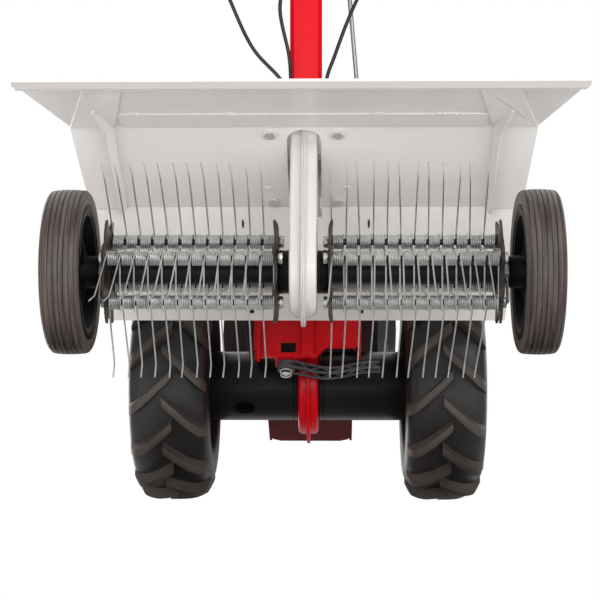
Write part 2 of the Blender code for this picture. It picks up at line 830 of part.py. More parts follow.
def axle_tube(side):
    """Black tube with a bolting flange; the left one has an oval hole toward the operator."""
    start = drive_half_width + gap
    profile = [(start, axle_shaft_radius + 0.004), (axle_tube_end - 0.006, axle_shaft_radius + 0.004),
               (axle_tube_end - 0.006, axle_tube_radius - 0.004), (axle_tube_end, axle_tube_radius - 0.004),
               (axle_tube_end, axle_tube_radius), (start, axle_tube_radius)]
    mesh = turned(profile, 20, (0, *axle_axis))
    if side > 0:
        return mesh
    lean = math.radians(37 + 30)
    hole = prism([(0.0155 * math.cos(a) - 0.092, 0.0135 * math.sin(a))
                  for a in (math.tau * i / 12 for i in range(12))], -0.060, -0.042, "Z")
    turn = Matrix.Rotation(-math.pi / 2 + lean, 4, "X")
    return cut(mirrored(mesh), moved(hole, Matrix.Translation((0, *axle_axis)) @ turn))


def axle_shaft():
    half = tyre_centre_x + 0.045
    return turned([(-half, 0), (-half, axle_shaft_radius), (half, axle_shaft_radius), (half, 0)], tyre_flats)


def lug(side, number):
    """A tread bar from just past the middle of the crown to the shoulder, swept back as it goes out."""
    step = math.tau / lugs_per_side
    start = -math.pi / 2 + (number + (0.5 if side > 0 else 0.0)) * step
    half_turn = 0.0085 / tyre_radius
    bm = bmesh.new()
    loops = []
    for x, turn, foot, top in ((-0.006, 0.0, 0.146, tyre_radius), (0.036, 0.23, 0.136, tyre_radius),
                               (0.053, 0.31, 0.126, tyre_radius - 0.014)):
        ring = []
        for radius, lean in ((foot, -1), (foot, 1), (top, 1), (top, -1)):
            angle = start - turn + lean * half_turn
            ring.append(bm.verts.new((side * x, radius * math.cos(angle), radius * math.sin(angle))))
        loops.append(ring)
    for first, second in zip(loops, loops[1:]):
        for i in range(4):
            j = (i + 1) % 4
            bm.faces.new((first[i], first[j], second[j], second[i]))
    bm.faces.new(loops[0])
    bm.faces.new(loops[-1])
    return solid(bm)


def drive_tyre():
    """Rubber carcass between the rim's flanges, with a herringbone of tread bars."""
    half = tyre_half_width
    right = [(0.0400, bead_radius + gap), (0.0405, bead_radius + 0.0085), (half, 0.112),
             (half - 0.008, 0.141), (0.022, tyre_crown_radius)]
    carcass = turned(right + [(-x, r) for x, r in reversed(right)], tyre_flats)
    bars = [lug(side, number) for side in (-1, 1) for number in range(lugs_per_side)]
    left = gathered(bars[:lugs_per_side])
    right_bars = gathered(bars[lugs_per_side:])
    return united(carcass, left, right_bars)


def drive_rim():
    """Pressed wheel: flanged ring, web and a hub on the axle."""
    bore = axle_shaft_radius + gap
    profile = [(-0.045, 0.0835), (-0.0403, bead_radius), (0.0403, bead_radius), (0.045, 0.0835),
               (0.042, 0.0715), (0.003, 0.0690), (0.003, 0.026), (0.030, 0.024), (0.030, bore),
               (-0.040, bore), (-0.040, 0.024), (-0.003, 0.026), (-0.003, 0.0690), (-0.042, 0.0715)]
    return turned(profile, tyre_flats)


# Engine

def engine_bed():
    """Dark red bed: a deck, two cheeks and a guard plate with rounded corners under the front."""
    front, low, deck = bed_front_y, bed_low_z, bed_deck_z
    cheek = [(axle_y - 0.042, axle_z + 0.020), (axle_y - 0.042, deck - 0.001), (front, deck - 0.001),
             (front, low + 0.001), (axle_y + 0.050, low + 0.001), (axle_y + 0.030, axle_z + 0.010)]
    cheeks = [prism(cheek, *sorted((s * bed_half_width, s * (bed_half_width - bed_plate))))
              for s in (-1, 1)]
    corner = 0.018
    half = bed_half_width
    guard = prism([(-half, axle_y + 0.062), (half, axle_y + 0.062), (half, front - corner),
                   (half - corner / 3, front - corner / 3), (half - corner, front),
                   (-half + corner, front), (-half + corner / 3, front - corner / 3),
                   (-half, front - corner)], low, low + bed_plate, "Z")
    deck_plate = box((-deck_half_width, axle_y - 0.047, deck - bed_plate),
                     (deck_half_width, engine_front_y + 0.017, deck))
    saddle = prism(polygon(20, axle_tube_radius / math.cos(math.pi / 20) + gap, axle_axis, 0), -0.2, 0.2)
    room = drive_half_width + 0.002
    notch = prism(drive_outline(drive_flange + 0.002), -room, room)
    return cut(united(deck_plate, *cheeks, guard), saddle, notch)


def engine_block():
    """Sump, upright cylinder with cooling fins and its head, on the deck."""
    deck = bed_deck_z + gap
    back, front, half = engine_back_y, engine_front_y, engine_half_width
    middle = (back + front) / 2
    sump = prism([(back, deck), (front, deck), (front, deck + 0.075), (front - 0.02, deck + 0.105),
                  (back + 0.02, deck + 0.105), (back, deck + 0.075)], -half, half)
    barrel = prism(polygon(12, 0.040, (0.0, middle), math.pi / 12), deck + 0.10, engine_top_z, "Z")
    fins = [prism(polygon(8, 0.057, (0.0, middle), math.pi / 8), z, z + 0.004, "Z")
            for z in (deck + 0.120 + i * 0.018 for i in range(4))]
    flange = prism(polygon(12, 0.030, (middle - 0.005, deck + 0.055), math.pi / 12),
                   -half - 0.012, -half + 0.01)
    return united(sump, barrel, *fins, flange)


def fan_cover():
    """Round fan housing on the right of the sump, with cooling slots and the starter's dome."""
    start = engine_half_width + gap
    middle = fan_middle()
    drum = turned([(start, 0), (start, fan_radius), (start + 0.030, fan_radius),
                   (start + 0.045, fan_radius - 0.018), (start + 0.048, 0.060), (start + 0.060, 0.052),
                   (start + 0.063, 0)], 18, (0, *middle))
    slots = []
    for i in range(8):
        slot = box((start + 0.035, 0.066, -0.004), (start + 0.09, 0.078, 0.004))
        turn = Matrix.Translation((0, *middle)) @ Matrix.Rotation(math.tau * i / 8, 4, "X")
        slots.append(moved(slot, turn))
    return cut(drum, gathered(slots), starter_cord(starter_cord_radius + gap, starter_travel + 0.012))


def fan_middle():
    return ((engine_back_y + engine_front_y) / 2, bed_deck_z + gap + fan_radius + 0.004)


def starter_way():
    """The pull is toward the operator and up."""
    lift = math.radians(starter_lift)
    return Vector((0, -math.cos(lift), math.sin(lift)))


def starter_spot():
    y, z = fan_middle()
    return Vector((engine_half_width + gap + 0.0245, y, z)) + fan_radius * starter_way()


def starter_cord(radius, length):
    spot = starter_spot()
    return bar([spot - length * starter_way(), spot + 0.012 * starter_way()], radius, 6)


def starter_handle():
    """T handle against the fan cover, with the first length of its cord inside the cover."""
    spot, way = starter_spot(), starter_way()
    across = Vector((0, way.z, -way.y))
    stem = bar([spot + gap * way, spot + 0.012 * way], 0.006, 8)
    ends = [spot + 0.016 * way - 0.028 * across, spot + 0.016 * way + 0.028 * across]
    return united(stem, bar(ends, 0.0078, 8), starter_cord(starter_cord_radius, starter_travel + 0.010))


def tank_base():
    return engine_top_z + 0.006


def fuel_tank():
    """Rounded tank above the cylinder, on a short saddle."""
    middle = (engine_back_y + engine_front_y) / 2
    low = tank_base()
    base = [(middle - 0.085, low), (middle + 0.085, low), (middle + 0.095, low + 0.02),
            (middle + 0.095, low + tank_height - 0.02), (middle + 0.075, low + tank_height),
            (middle - 0.075, low + tank_height), (middle - 0.095, low + tank_height - 0.02),
            (middle - 0.095, low + 0.02)]
    small = [(middle + (y - middle) * 0.86, low + tank_height / 2 + (z - low - tank_height / 2) * 0.8)
             for y, z in base]
    tank = stack([(-0.115, small), (-0.098, base), (0.098, base), (0.115, small)])
    saddle = box((-0.03, middle - 0.03, engine_top_z + gap), (0.03, middle + 0.03, low + 0.01))
    neck = prism(polygon(12, 0.020, (0.045, middle), math.pi / 12), low + tank_height - 0.01,
                 low + tank_height + 0.006, "Z")
    return united(tank, saddle, neck)


def fuel_cap():
    middle = (engine_back_y + engine_front_y) / 2
    low = tank_base() + tank_height + 0.006 + gap
    outline = []
    for i in range(24):
        radius = 0.026 if i % 3 else 0.0235
        outline.append((0.045 + radius * math.cos(math.tau * i / 24),
                        middle + radius * math.sin(math.tau * i / 24)))
    return prism(outline, low, low + 0.016, "Z")


def muffler():
    """Box silencer on the left of the sump, on its exhaust flange."""
    start = -engine_half_width - 0.012 - gap
    middle = (engine_back_y + engine_front_y) / 2 - 0.005
    z = bed_deck_z + gap + 0.055
    outline = [(middle - 0.055, z - 0.035), (middle - 0.040, z - 0.046), (middle + 0.040, z - 0.046),
               (middle + 0.055, z - 0.035), (middle + 0.055, z + 0.035), (middle + 0.040, z + 0.046),
               (middle - 0.040, z + 0.046), (middle - 0.055, z + 0.035)]
    can = prism(outline, start - 0.052, start)
    pipe = prism(polygon(8, 0.009, (start - 0.026, z - 0.02)), middle + 0.05, middle + 0.075, "Y")
    return united(can, pipe)


def filter_back():
    return (engine_back_y + engine_front_y) / 2 - 0.056 - gap


def air_filter():
    """Filter box on the operator's side of the cylinder, with a ribbed lid."""
    back = filter_back()
    low = bed_deck_z + gap + 0.110
    body = box((-0.040, back - 0.045, low), (0.050, back, low + 0.075))
    lids = [box((-0.044, back - 0.049, low + h), (0.054, back - 0.004, low + h + 0.006))
            for h in (0.010, 0.034, 0.058)]
    return united(body, *lids)


# Mast, handlebar and controls

mast_up = Vector((0, -math.sin(math.radians(mast_lean)), math.cos(math.radians(mast_lean))))
mast_ahead_way = Vector((0, mast_up.z, -mast_up.y))
mast_foot = Vector((mast_x, *drive_upper)) + mast_ahead * mast_ahead_way - 0.012 * mast_up
mast_head = mast_foot + (mast_length + 0.012) * mast_up


def mast():
    """Leaning box post that straddles the drive case, holds the handlebar and guides the shift rod."""
    half_w, half_d = mast_width / 2, mast_depth / 2
    bevel = 0.006
    ring = [(-half_w, -half_d + bevel), (-half_w + bevel, -half_d), (half_w - bevel, -half_d),
            (half_w, -half_d + bevel), (half_w, half_d - bevel), (half_w - bevel, half_d),
            (-half_w + bevel, half_d), (-half_w, half_d - bevel)]
    post = prism(ring, 0, (mast_head - mast_foot).length, "Z")
    turn = Matrix.Translation(mast_foot) @ Matrix.Rotation(math.radians(mast_lean), 4, "X")
    post = moved(post, turn)
    body = prism(drive_outline(gap), -drive_half_width - gap, drive_half_width + gap)
    rim = prism(drive_outline(drive_flange + gap), -flange_half - gap, flange_half + gap)
    y, z = (mast_head - 0.022 * mast_up).yz
    eye = prism(polygon(12, bar_radius + 2 * gap, (y, z), math.pi / 12), -0.1, 0.1)
    side = mast_x + half_w
    guides = []
    for up in (guide_low, mast_length - guide_below_head):
        low, top = shift_line()
        share = (up - shift_low) / (mast_length - shift_below_head - shift_low)
        reach = low.x + (top.x - low.x) * share + rod_line_radius + 0.0065
        plate = box((side - 0.001, -0.020, up - 0.0015), (reach, 0.000, up + 0.0015))
        guides.append(moved(plate, Matrix.Translation((0, *mast_foot.yz))
                            @ Matrix.Rotation(math.radians(mast_lean), 4, "X")))
    bore = bar(shift_line(), rod_line_radius + 2 * gap, 8)
    return cut(united(post, *guides), body, rim, eye, bore)


def bar_points(side):
    """The handlebar's centre line on one side, from the mast's head out to the grip's end."""
    y, z = (mast_head - 0.022 * mast_up).yz
    return [(side * 0.036, y, z), (side * 0.075, y - 0.012, z + 0.010),
            (side * 0.150, y - 0.120, z + 0.065), (side * 0.225, y - 0.300, z + 0.120),
            (side * bar_half_width, -0.330, bar_end_z - 0.012), (side * bar_half_width, -0.450, bar_end_z),
            (side * bar_half_width, bar_end_y + gap, bar_end_z)]


def lever_spot(side):
    return (side * bar_half_width, -0.455, bar_end_z - bar_radius - 0.012)


def handlebar():
    """One bent tube through the mast's head, with a lug under each arm for its lever."""
    left = [Vector(p) for p in reversed(bar_points(-1))]
    right = [Vector(p) for p in bar_points(1)]
    curve_left = [left[0]] + smooth_path(left[1:], 2)
    curve_right = smooth_path(right[:-1], 2) + [right[-1]]
    tube = bar(curve_left + curve_right, bar_radius, 6)
    for side in (-1, 1):
        x, y, z = lever_spot(side)
        ear = box((x - 0.004, y - 0.010, z - 0.006), (x + 0.004, y + 0.010, bar_end_z - 0.006))
        hole = prism(polygon(8, 0.003 + gap, (y, z), math.pi / 8), x - 0.01, x + 0.01)
        tube = united(tube, cut(ear, hole))
    return tube


def grip(side):
    """Rubber sleeve closed at its end, with a collar at its inner end."""
    end = bar_end_y - 0.003
    x, z = side * bar_half_width, bar_end_z
    inner = bar_radius + gap
    start = end + grip_length
    sides = 10
    rings = [(end, grip_radius - 0.002), (end + 0.004, grip_radius), (start - 0.006, grip_radius - 0.0005),
             (start - 0.005, grip_radius + 0.004), (start, grip_radius + 0.004)]
    sleeve = stack([(y, polygon(sides, r, (x, z), math.pi / sides)) for y, r in rings], "Y")
    bore = prism(polygon(16, inner / math.cos(math.pi / 16), (x, z)), bar_end_y, start + 0.01, "Y")
    return cut(sleeve, bore)


def squeeze_lever(side):
    """Flat lever under a grip, beside its lug, with the pin it turns on."""
    x, y, z = lever_spot(side)
    start = x + side * (0.004 + gap)
    blade = [(y + 0.012, z - 0.014), (y + 0.014, z + 0.004), (y - 0.004, z + 0.007),
             (y - 0.050, z - 0.016), (y - 0.150, z - 0.026), (y - 0.152, z - 0.034), (y - 0.048, z - 0.026)]
    plate = prism(blade, *sorted((start, start + side * 0.006)))
    pin = prism(polygon(8, 0.003, (y, z), math.pi / 8), *sorted((start + side * 0.001, x - side * 0.008)))
    return united(plate, pin)


def throttle_spot():
    """On the outer side of the right arm, between the grip and the lever's lug."""
    return (bar_half_width + bar_radius + gap, -0.492, bar_end_z)


def throttle_lever():
    """Small thumb lever with a round hub on the outer side of the right arm."""
    x, y, z = throttle_spot()
    hub = prism(polygon(12, 0.014, (y, z)), x, x + 0.008)
    thumb = prism([(y - 0.006, z + 0.006), (y + 0.006, z + 0.006), (y + 0.012, z + 0.040),
                   (y + 0.004, z + 0.044)], x + 0.001, x + 0.006)
    return united(hub, thumb)


def beside_mast(x, ahead, up):
    """A place from how far it is ahead of the mast's middle plane and up from its foot."""
    spot = mast_foot + ahead * mast_ahead_way + up * mast_up
    return (x, spot.y, spot.z)


def cable(points):
    """A round sheath whose first and last stretches stay straight."""
    return bar([points[0]] + smooth_path(points[1:-1], 2) + [points[-1]], cable_radius, 4)


def clutch_cable():
    """From the left lever's lug under the arm, then down the mast's left side to the engine bed."""
    x, y, z = lever_spot(-1)
    low = (-0.0365, axle_y - 0.030)
    return cable([(x, y + 0.010 + gap, z), (x, y + 0.040, z), (-0.262, -0.330, 0.935),
                  (-0.225, -0.100, 0.865), (-0.172, 0.100, 0.788), beside_mast(-0.121, -0.0425, 0.4075),
                  beside_mast(-0.086, -0.0425, 0.334), beside_mast(-0.0385, -0.0410, 0.278),
                  beside_mast(-0.0365, -0.0200, 0.225), beside_mast(-0.0365, 0.0, 0.140),
                  (*low, bed_deck_z + 0.130), (*low, bed_deck_z + 0.030), (*low, bed_deck_z + gap)])


def drive_cable():
    """From the right lever's lug under the arm, then down the mast's right side to the engine bed."""
    x, y, z = lever_spot(1)
    low = (0.0265, axle_y - 0.030)
    return cable([(x, y + 0.010 + gap, z), (x, y + 0.040, z), (0.262, -0.330, 0.935),
                  (0.225, -0.100, 0.865), (0.140, 0.110, 0.790), beside_mast(0.0717, -0.0425, 0.4075),
                  beside_mast(0.0379, -0.0425, 0.3225), beside_mast(0.0247, -0.0400, 0.280),
                  beside_mast(0.0235, -0.0100, 0.215), beside_mast(0.0235, 0.0100, 0.140),
                  (*low, bed_deck_z + 0.130), (*low, bed_deck_z + 0.030), (*low, bed_deck_z + gap)])


def throttle_cable():
    """From the throttle across the arms and round the mast's left edge to the air filter."""
    x, y, z = throttle_spot()
    end_y = filter_back() - 0.049 - gap
    return cable([(x + 0.004, y + 0.014 + gap, z), (x + 0.004, y + 0.040, z - 0.002),
                  (0.280, -0.330, 0.950), (0.238, -0.100, 0.886), (0.150, 0.060, 0.825),
                  (0.060, 0.140, 0.785), (-0.020, 0.185, 0.745), beside_mast(-0.0450, -0.0425, 0.400),
                  beside_mast(-0.0314, -0.0400, 0.3225), beside_mast(-0.0290, -0.0275, 0.275),
                  beside_mast(-0.0290, -0.0264, 0.235), beside_mast(-0.0360, -0.0310, 0.190),
                  beside_mast(-0.0460, -0.0140, 0.140), beside_mast(-0.0460, 0.0200, 0.090),
                  (-0.036, end_y - 0.058, 0.436), (-0.016, end_y - 0.028, 0.427),
                  (-0.010, end_y - 0.012, 0.425),
                  (-0.010, end_y, 0.425)])


def shift_line():
    """Ends of the shift rod, which leans away from the mast toward its foot."""
    return [Vector(beside_mast(0.089, -0.010, shift_low)),
            Vector(beside_mast(0.0575, -0.010, mast_length - shift_below_head))]


def shift_rod():
    """Grey control rod with a knob at the top."""
    low, top = shift_line()
    way = (top - low).normalized()
    knob = bar([top - 0.010 * way, top + 0.004 * way, top + 0.012 * way], 0.0115, 8)
    return united(bar([low, top], rod_line_radius, 6), knob)


# Assembly

def build():
    for obj in list(bpy.data.objects):
        bpy.data.objects.remove(obj)
    white = paint("white_paint", (0.78, 0.76, 0.73), 0.38)
    red = paint("red_paint", (0.62, 0.012, 0.018), 0.32)
    dark_red = paint("dark_red_paint", (0.16, 0.006, 0.008), 0.45)
    black = paint("black_paint", (0.012, 0.011, 0.012), 0.38)
    dark_steel = paint("dark_steel", (0.055, 0.042, 0.036), 0.45, 0.6)
    zinc = paint("zinc_steel", (0.62, 0.63, 0.62), 0.32, 0.95)
    steel = paint("plain_steel", (0.45, 0.45, 0.46), 0.35, 0.9)
    rubber = paint("rubber", (0.030, 0.024, 0.022), 0.75)
    plastic = paint("black_plastic", (0.014, 0.013, 0.014), 0.55)
    cast = paint("cast_aluminium", (0.48, 0.48, 0.49), 0.5, 0.8)
    exhaust = paint("exhaust_black", (0.03, 0.028, 0.027), 0.7, 0.4)

    machine = pivot("machine", (0, 0, 0))
    rotor = pivot("rotor_axis", (0, *rotor_axis), machine)
    upper = pivot("upper_sprocket_axis", (0, *case_upper), machine)
    drive = pivot("drive_axle_axis", (0, *axle_axis), machine)

    place("rotor_shaft", rotor_shaft(), steel, rotor)
    for side, word in ((-1, "left"), (1, "right")):
        place(f"rotor_frame_{word}", rotor_frame(side), dark_steel, rotor)
        row = tine_row(side > 0)
        start = row_start if side > 0 else -row_start - row_length
        for number, angle in enumerate(rod_angles, 1):
            y, z = rotor_spot(angle, rod_circle)
            place(f"tine_row_{word}_{number}", row, zinc, rotor,
                  (start, y, z - rotor_height), math.radians(90 - angle))
        clip = retaining_clip()
        place(f"retaining_clip_{word}", clip, zinc, rotor, (side * clip_x, 0, 0))
        place(f"rotor_bearing_{word}", rotor_bearing(side), black, machine)
        place(f"chain_case_{word}", chain_case_half(side), white, machine)
        wheel = pivot(f"depth_wheel_{word}_axis", (side * wheel_centre_x, *rotor_axis), machine)
        place(f"depth_tyre_{word}", depth_tyre(), rubber, wheel, (0, 0, 0))
        rim = depth_rim()
        place(f"depth_rim_{word}", rim if side > 0 else mirrored(rim), plastic, wheel, (0, 0, 0))
    place("lower_sprocket", lower_sprocket(), steel, rotor)
    place("upper_sprocket", upper_sprocket(), steel, upper)
    place("drive_chain", drive_chain(), steel, machine)

    place("hood", hood(), white, machine)
    rail = hood_rail()
    place("hood_rail_right", rail, white, machine)
    place("hood_rail_left", mirrored(rail), white, machine)
    place("bracket_plate", bracket_plate(), zinc, machine)
    place("gear_head", gear_head(), white, machine)
    place("hitch_bracket", hitch_bracket(), red, machine)
    lever_axis = pivot("hitch_lever_axis", (*hitch_pin_spot(), hitch_bottom_z), machine)
    place("hitch_lever", hitch_lever(), plastic, lever_axis)
    place("hitch_pin", hitch_pin(), zinc, machine)

    place("axle_shaft", axle_shaft(), steel, drive, (0, 0, 0))
    for side, word in ((-1, "left"), (1, "right")):
        place(f"drive_case_{word}", drive_case_half(side), red, machine)
        place(f"axle_tube_{word}", axle_tube(side), black, machine)
        place(f"drive_tyre_{word}", drive_tyre(), rubber, drive, (side * tyre_centre_x, 0, 0))
        rim = drive_rim()
        place(f"drive_rim_{word}", rim if side > 0 else mirrored(rim), dark_red, drive,
              (side * tyre_centre_x, 0, 0))
        grip_name = f"grip_{word}"
        place(grip_name, grip(side), rubber, machine)

    place("engine_bed", engine_bed(), dark_red, machine)
    place("engine_block", engine_block(), cast, machine)
    place("fan_cover", fan_cover(), plastic, machine)
    pull = pivot("starter_axis", starter_spot(), machine)
    place("starter_handle", starter_handle(), plastic, pull)
    place("fuel_tank", fuel_tank(), plastic, machine)
    cap = pivot("fuel_cap_axis", (0.045, (engine_back_y + engine_front_y) / 2, tank_base() + tank_height),
                machine)
    place("fuel_cap", fuel_cap(), plastic, cap)
    place("muffler", muffler(), exhaust, machine)
    place("air_filter", air_filter(), plastic, machine)

    place("mast", mast(), red, machine)
    place("handlebar", handlebar(), black, machine)
    for side, name in ((-1, "clutch_lever"), (1, "drive_lever")):
        place(name, squeeze_lever(side), plastic, pivot(f"{name}_axis", lever_spot(side), machine))
    place("throttle_lever", throttle_lever(), plastic, pivot("throttle_axis", throttle_spot(), machine))
    place("clutch_cable", clutch_cable(), plastic, machine)
    place("drive_cable", drive_cable(), plastic, machine)
    place("throttle_cable", throttle_cable(), plastic, machine)
    rod = pivot("shift_rod_axis", shift_line()[1], machine)
    place("shift_rod", shift_rod(), steel, rod)

    bpy.context.view_layer.update()
    corners = [obj.matrix_world @ Vector(corner) for obj in bpy.data.objects if obj.type == "MESH"
               for corner in obj.bound_box]
    lengths = [corner.y for corner in corners]
    machine.location.y = -(min(lengths) + max(lengths)) / 2
    bpy.context.view_layer.update()
    print("machine moved along Y by", round(machine.location.y, 6))


build()
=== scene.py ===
# %% [markdown]
# # A walk-behind lawn scarifier
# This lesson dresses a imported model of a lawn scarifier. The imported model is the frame: every piece made
# here takes its place from it and rides on one of its bodies, so that wheels, rotor and levers still move.
# The picture is set up first. Then come the hood, the rotor with its spring tines, the wheels, the drive
# and the controls.

# %% The frame and its size
import math

import bpy
import numpy as np
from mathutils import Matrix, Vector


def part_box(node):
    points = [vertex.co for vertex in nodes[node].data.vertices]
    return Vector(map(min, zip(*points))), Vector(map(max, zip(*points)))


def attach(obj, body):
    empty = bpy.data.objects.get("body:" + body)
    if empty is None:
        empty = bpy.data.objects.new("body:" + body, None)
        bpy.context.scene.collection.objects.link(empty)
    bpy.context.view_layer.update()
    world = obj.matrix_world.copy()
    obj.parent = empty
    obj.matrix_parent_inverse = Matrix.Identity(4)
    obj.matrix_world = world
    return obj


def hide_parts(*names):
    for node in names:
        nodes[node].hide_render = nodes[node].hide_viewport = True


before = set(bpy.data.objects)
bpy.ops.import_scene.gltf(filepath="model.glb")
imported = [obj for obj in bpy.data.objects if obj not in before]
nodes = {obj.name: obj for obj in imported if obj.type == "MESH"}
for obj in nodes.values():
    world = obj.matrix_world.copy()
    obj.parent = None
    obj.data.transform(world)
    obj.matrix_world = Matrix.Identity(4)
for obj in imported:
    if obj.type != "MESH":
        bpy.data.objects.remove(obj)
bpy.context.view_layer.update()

# %% [markdown]
# Everything on the real machine is laid out from the rotor's axis. It runs from side to side through the
# depth wheels, so its height and place are read from the shaft's box. X points to the machine's right, so
# a shape drawn once for the right side becomes the left one when its X is multiplied by -1.

# %% The rotor's axis, from which the rest is measured
both_sides = (("left", -1), ("right", 1))


def middle_of(node):
    """The middle of a frame node's box."""
    low, high = (np.array(corner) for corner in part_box(node))
    return (low + high) / 2


def spot(x, y, z):
    """A place given from the rotor's axis along Y and from the ground along Z."""
    return np.array((x, rotor_y + y, z))


rotor_y, rotor_z = middle_of("rotor_shaft")[1:]
rotor_centre = spot(0, 0, rotor_z)
print("rotor axis at y", round(float(rotor_y), 4), "z", round(float(rotor_z), 4))

# %% [markdown]
# The photograph looks up at the machine from behind: it stands in its working pose, and the camera is
# thirty degrees below the level of its wheels. The camera is placed by three axes: where it looks, its
# right and its up. A long lens keeps the two rotors almost parallel. Its focal length and the picture's
# width are both in pixels, and a lens is set in millimetres of its sensor's width.

# %% Camera at the photograph's angle
from mathutils import Matrix, Vector

tilt = math.radians(30)
distance, aside, below = 1.95, 0.0373, 0.0339
turned_left = 0.0213
focal_length, picture_width = 1609, 600
x_axis = Vector((1, 0, 0))
ahead = Vector((0, math.cos(tilt), math.sin(tilt)))
above = Vector((0, -math.sin(tilt), math.cos(tilt)))
stand = Vector((aside, rotor_y, rotor_z)) - distance * ahead - below * above
look = (ahead - turned_left * x_axis).normalized()
right = (x_axis - look * look.x).normalized()
top = right.cross(look)
lens = bpy.data.cameras.new("camera")
lens.sensor_width = 36
lens.lens = lens.sensor_width * focal_length / picture_width
lens.clip_end = 50
camera = bpy.data.objects.new("camera", lens)
bpy.context.scene.collection.objects.link(camera)
camera.matrix_world = Matrix(((right.x, top.x, -look.x, stand.x), (right.y, top.y, -look.y, stand.y),
                              (right.z, top.z, -look.z, stand.z), (0, 0, 0, 1)))
bpy.context.scene.camera = camera
print("camera at", [round(v, 3) for v in stand], "lens", round(lens.lens, 1), "mm")

# %% [markdown]
# The light is that of a photographic studio with a white background. A world that was as bright as its
# background would be mirrored in every black surface and turn it grey. So the camera sees pure white, and
# the rest of the light is a dimmer sky, seven flat lamps and a wide soft sun from above. Four of the lamps
# are below the ground, because the photograph sees the hood's under side in full light. Two helpers add
# a shader node and join nodes, here and in every finish below.

# %% World and lamps


def add_node(tree, kind, **values):
    """A new shader node with values for its inputs; _ stands for the blank in an input's name."""
    node = tree.nodes.new(kind)
    for name, value in values.items():
        node.inputs[name.replace("_", " ")].default_value = value
    return node


def join(tree, *pairs):
    """Joins the first socket of each pair, an output, to the second, an input."""
    for output, entry in pairs:
        tree.links.new(output, entry)


scene = bpy.context.scene
scene.view_settings.view_transform = "Standard"
world = bpy.data.worlds.new("white tent")
world.use_nodes = True
sky = world.node_tree
dim_sky = sky.nodes["Background"]
dim_sky.inputs["Color"].default_value = (1.0, 0.985, 0.97, 1.0)
dim_sky.inputs["Strength"].default_value = 0.34
backdrop = add_node(sky, "ShaderNodeBackground", Color=(1.0, 1.0, 1.0, 1.0))
seen = add_node(sky, "ShaderNodeLightPath")
choose = add_node(sky, "ShaderNodeMixShader")
join(sky, (seen.outputs["Is Camera Ray"], choose.inputs["Fac"]), (dim_sky.outputs[0], choose.inputs[1]),
     (backdrop.outputs[0], choose.inputs[2]),
     (choose.outputs[0], sky.nodes["World Output"].inputs["Surface"]))
scene.world = world


def soft_lamp(name, place, wide, tall, watts):
    """A flat lamp of a width and a height in metres at a place, turned toward the machine's middle."""
    data = bpy.data.lights.new(name, "AREA")
    data.shape = "RECTANGLE"
    data.size, data.size_y = wide, tall
    data.energy = watts
    lamp = bpy.data.objects.new(name, data)
    scene.collection.objects.link(lamp)
    lamp.location = place
    lamp.rotation_euler = (machine_middle - Vector(place)).to_track_quat("-Z", "Y").to_euler()


machine_middle = Vector(spot(0, 0.15, 0.25))
soft_lamp("key", (1.1, -2.1, 0.65), 2.2, 0.8, 15)
soft_lamp("right", (2.0, -1.3, -0.9), 1.4, 1.4, 13)
soft_lamp("left", (-2.0, -1.3, -0.9), 1.4, 1.4, 9)
soft_lamp("under", (0.0, -1.4, -1.9), 3.2, 2.4, 34)
soft_lamp("ahead", (-1.8, 2.6, 1.4), 1.8, 1.8, 34)
soft_lamp("ahead right", (2.2, 2.2, 1.6), 1.8, 1.8, 16)
ceiling = bpy.data.lights.new("ceiling", "SUN")
ceiling.energy, ceiling.angle = 1.1, math.radians(70)
ceiling_lamp = bpy.data.objects.new("ceiling", ceiling)
ceiling_lamp.rotation_euler = (math.radians(-14), math.radians(-10), 0)
scene.collection.objects.link(ceiling_lamp)
soft_lamp("front", (0.0, -2.0, -0.62), 3.2, 0.7, 58)

# %% [markdown]
# The floor is a plain pale sheet. Its back face lets light and sight through, since the photograph's
# camera is below it, and from above it is an ordinary mat floor.

# %% Floor
floor_half, floor_z = 6, -0.0006
floor_mesh = bpy.data.meshes.new("floor")
floor_corners = [(x * floor_half, y * floor_half, floor_z) for x, y in ((-1, -1), (1, -1), (1, 1), (-1, 1))]
floor_mesh.from_pydata(floor_corners, [], [(0, 1, 2, 3)])
floor = bpy.data.objects.new("floor", floor_mesh)
scene.collection.objects.link(floor)
floor_finish = bpy.data.materials.new("pale floor")
floor_finish.use_nodes = True
floor_tree = floor_finish.node_tree
mat_side = floor_tree.nodes["Principled BSDF"]
mat_side.inputs["Base Color"].default_value = (0.82, 0.82, 0.82, 1)
mat_side.inputs["Roughness"].default_value = 0.8
clear = add_node(floor_tree, "ShaderNodeBsdfTransparent")
facing = add_node(floor_tree, "ShaderNodeNewGeometry")
ray = add_node(floor_tree, "ShaderNodeLightPath")
either = add_node(floor_tree, "ShaderNodeMath")
either.operation = "MAXIMUM"
mixer = add_node(floor_tree, "ShaderNodeMixShader")
join(floor_tree, (facing.outputs["Backfacing"], either.inputs[0]),
     (ray.outputs["Is Shadow Ray"], either.inputs[1]), (either.outputs[0], mixer.inputs["Fac"]),
     (mat_side.outputs[0], mixer.inputs[1]), (clear.outputs[0], mixer.inputs[2]),
     (mixer.outputs[0], floor_tree.nodes["Material Output"].inputs["Surface"]))
floor_mesh.materials.append(floor_finish)
print("floor at z", floor_mesh.vertices[0].co.z)
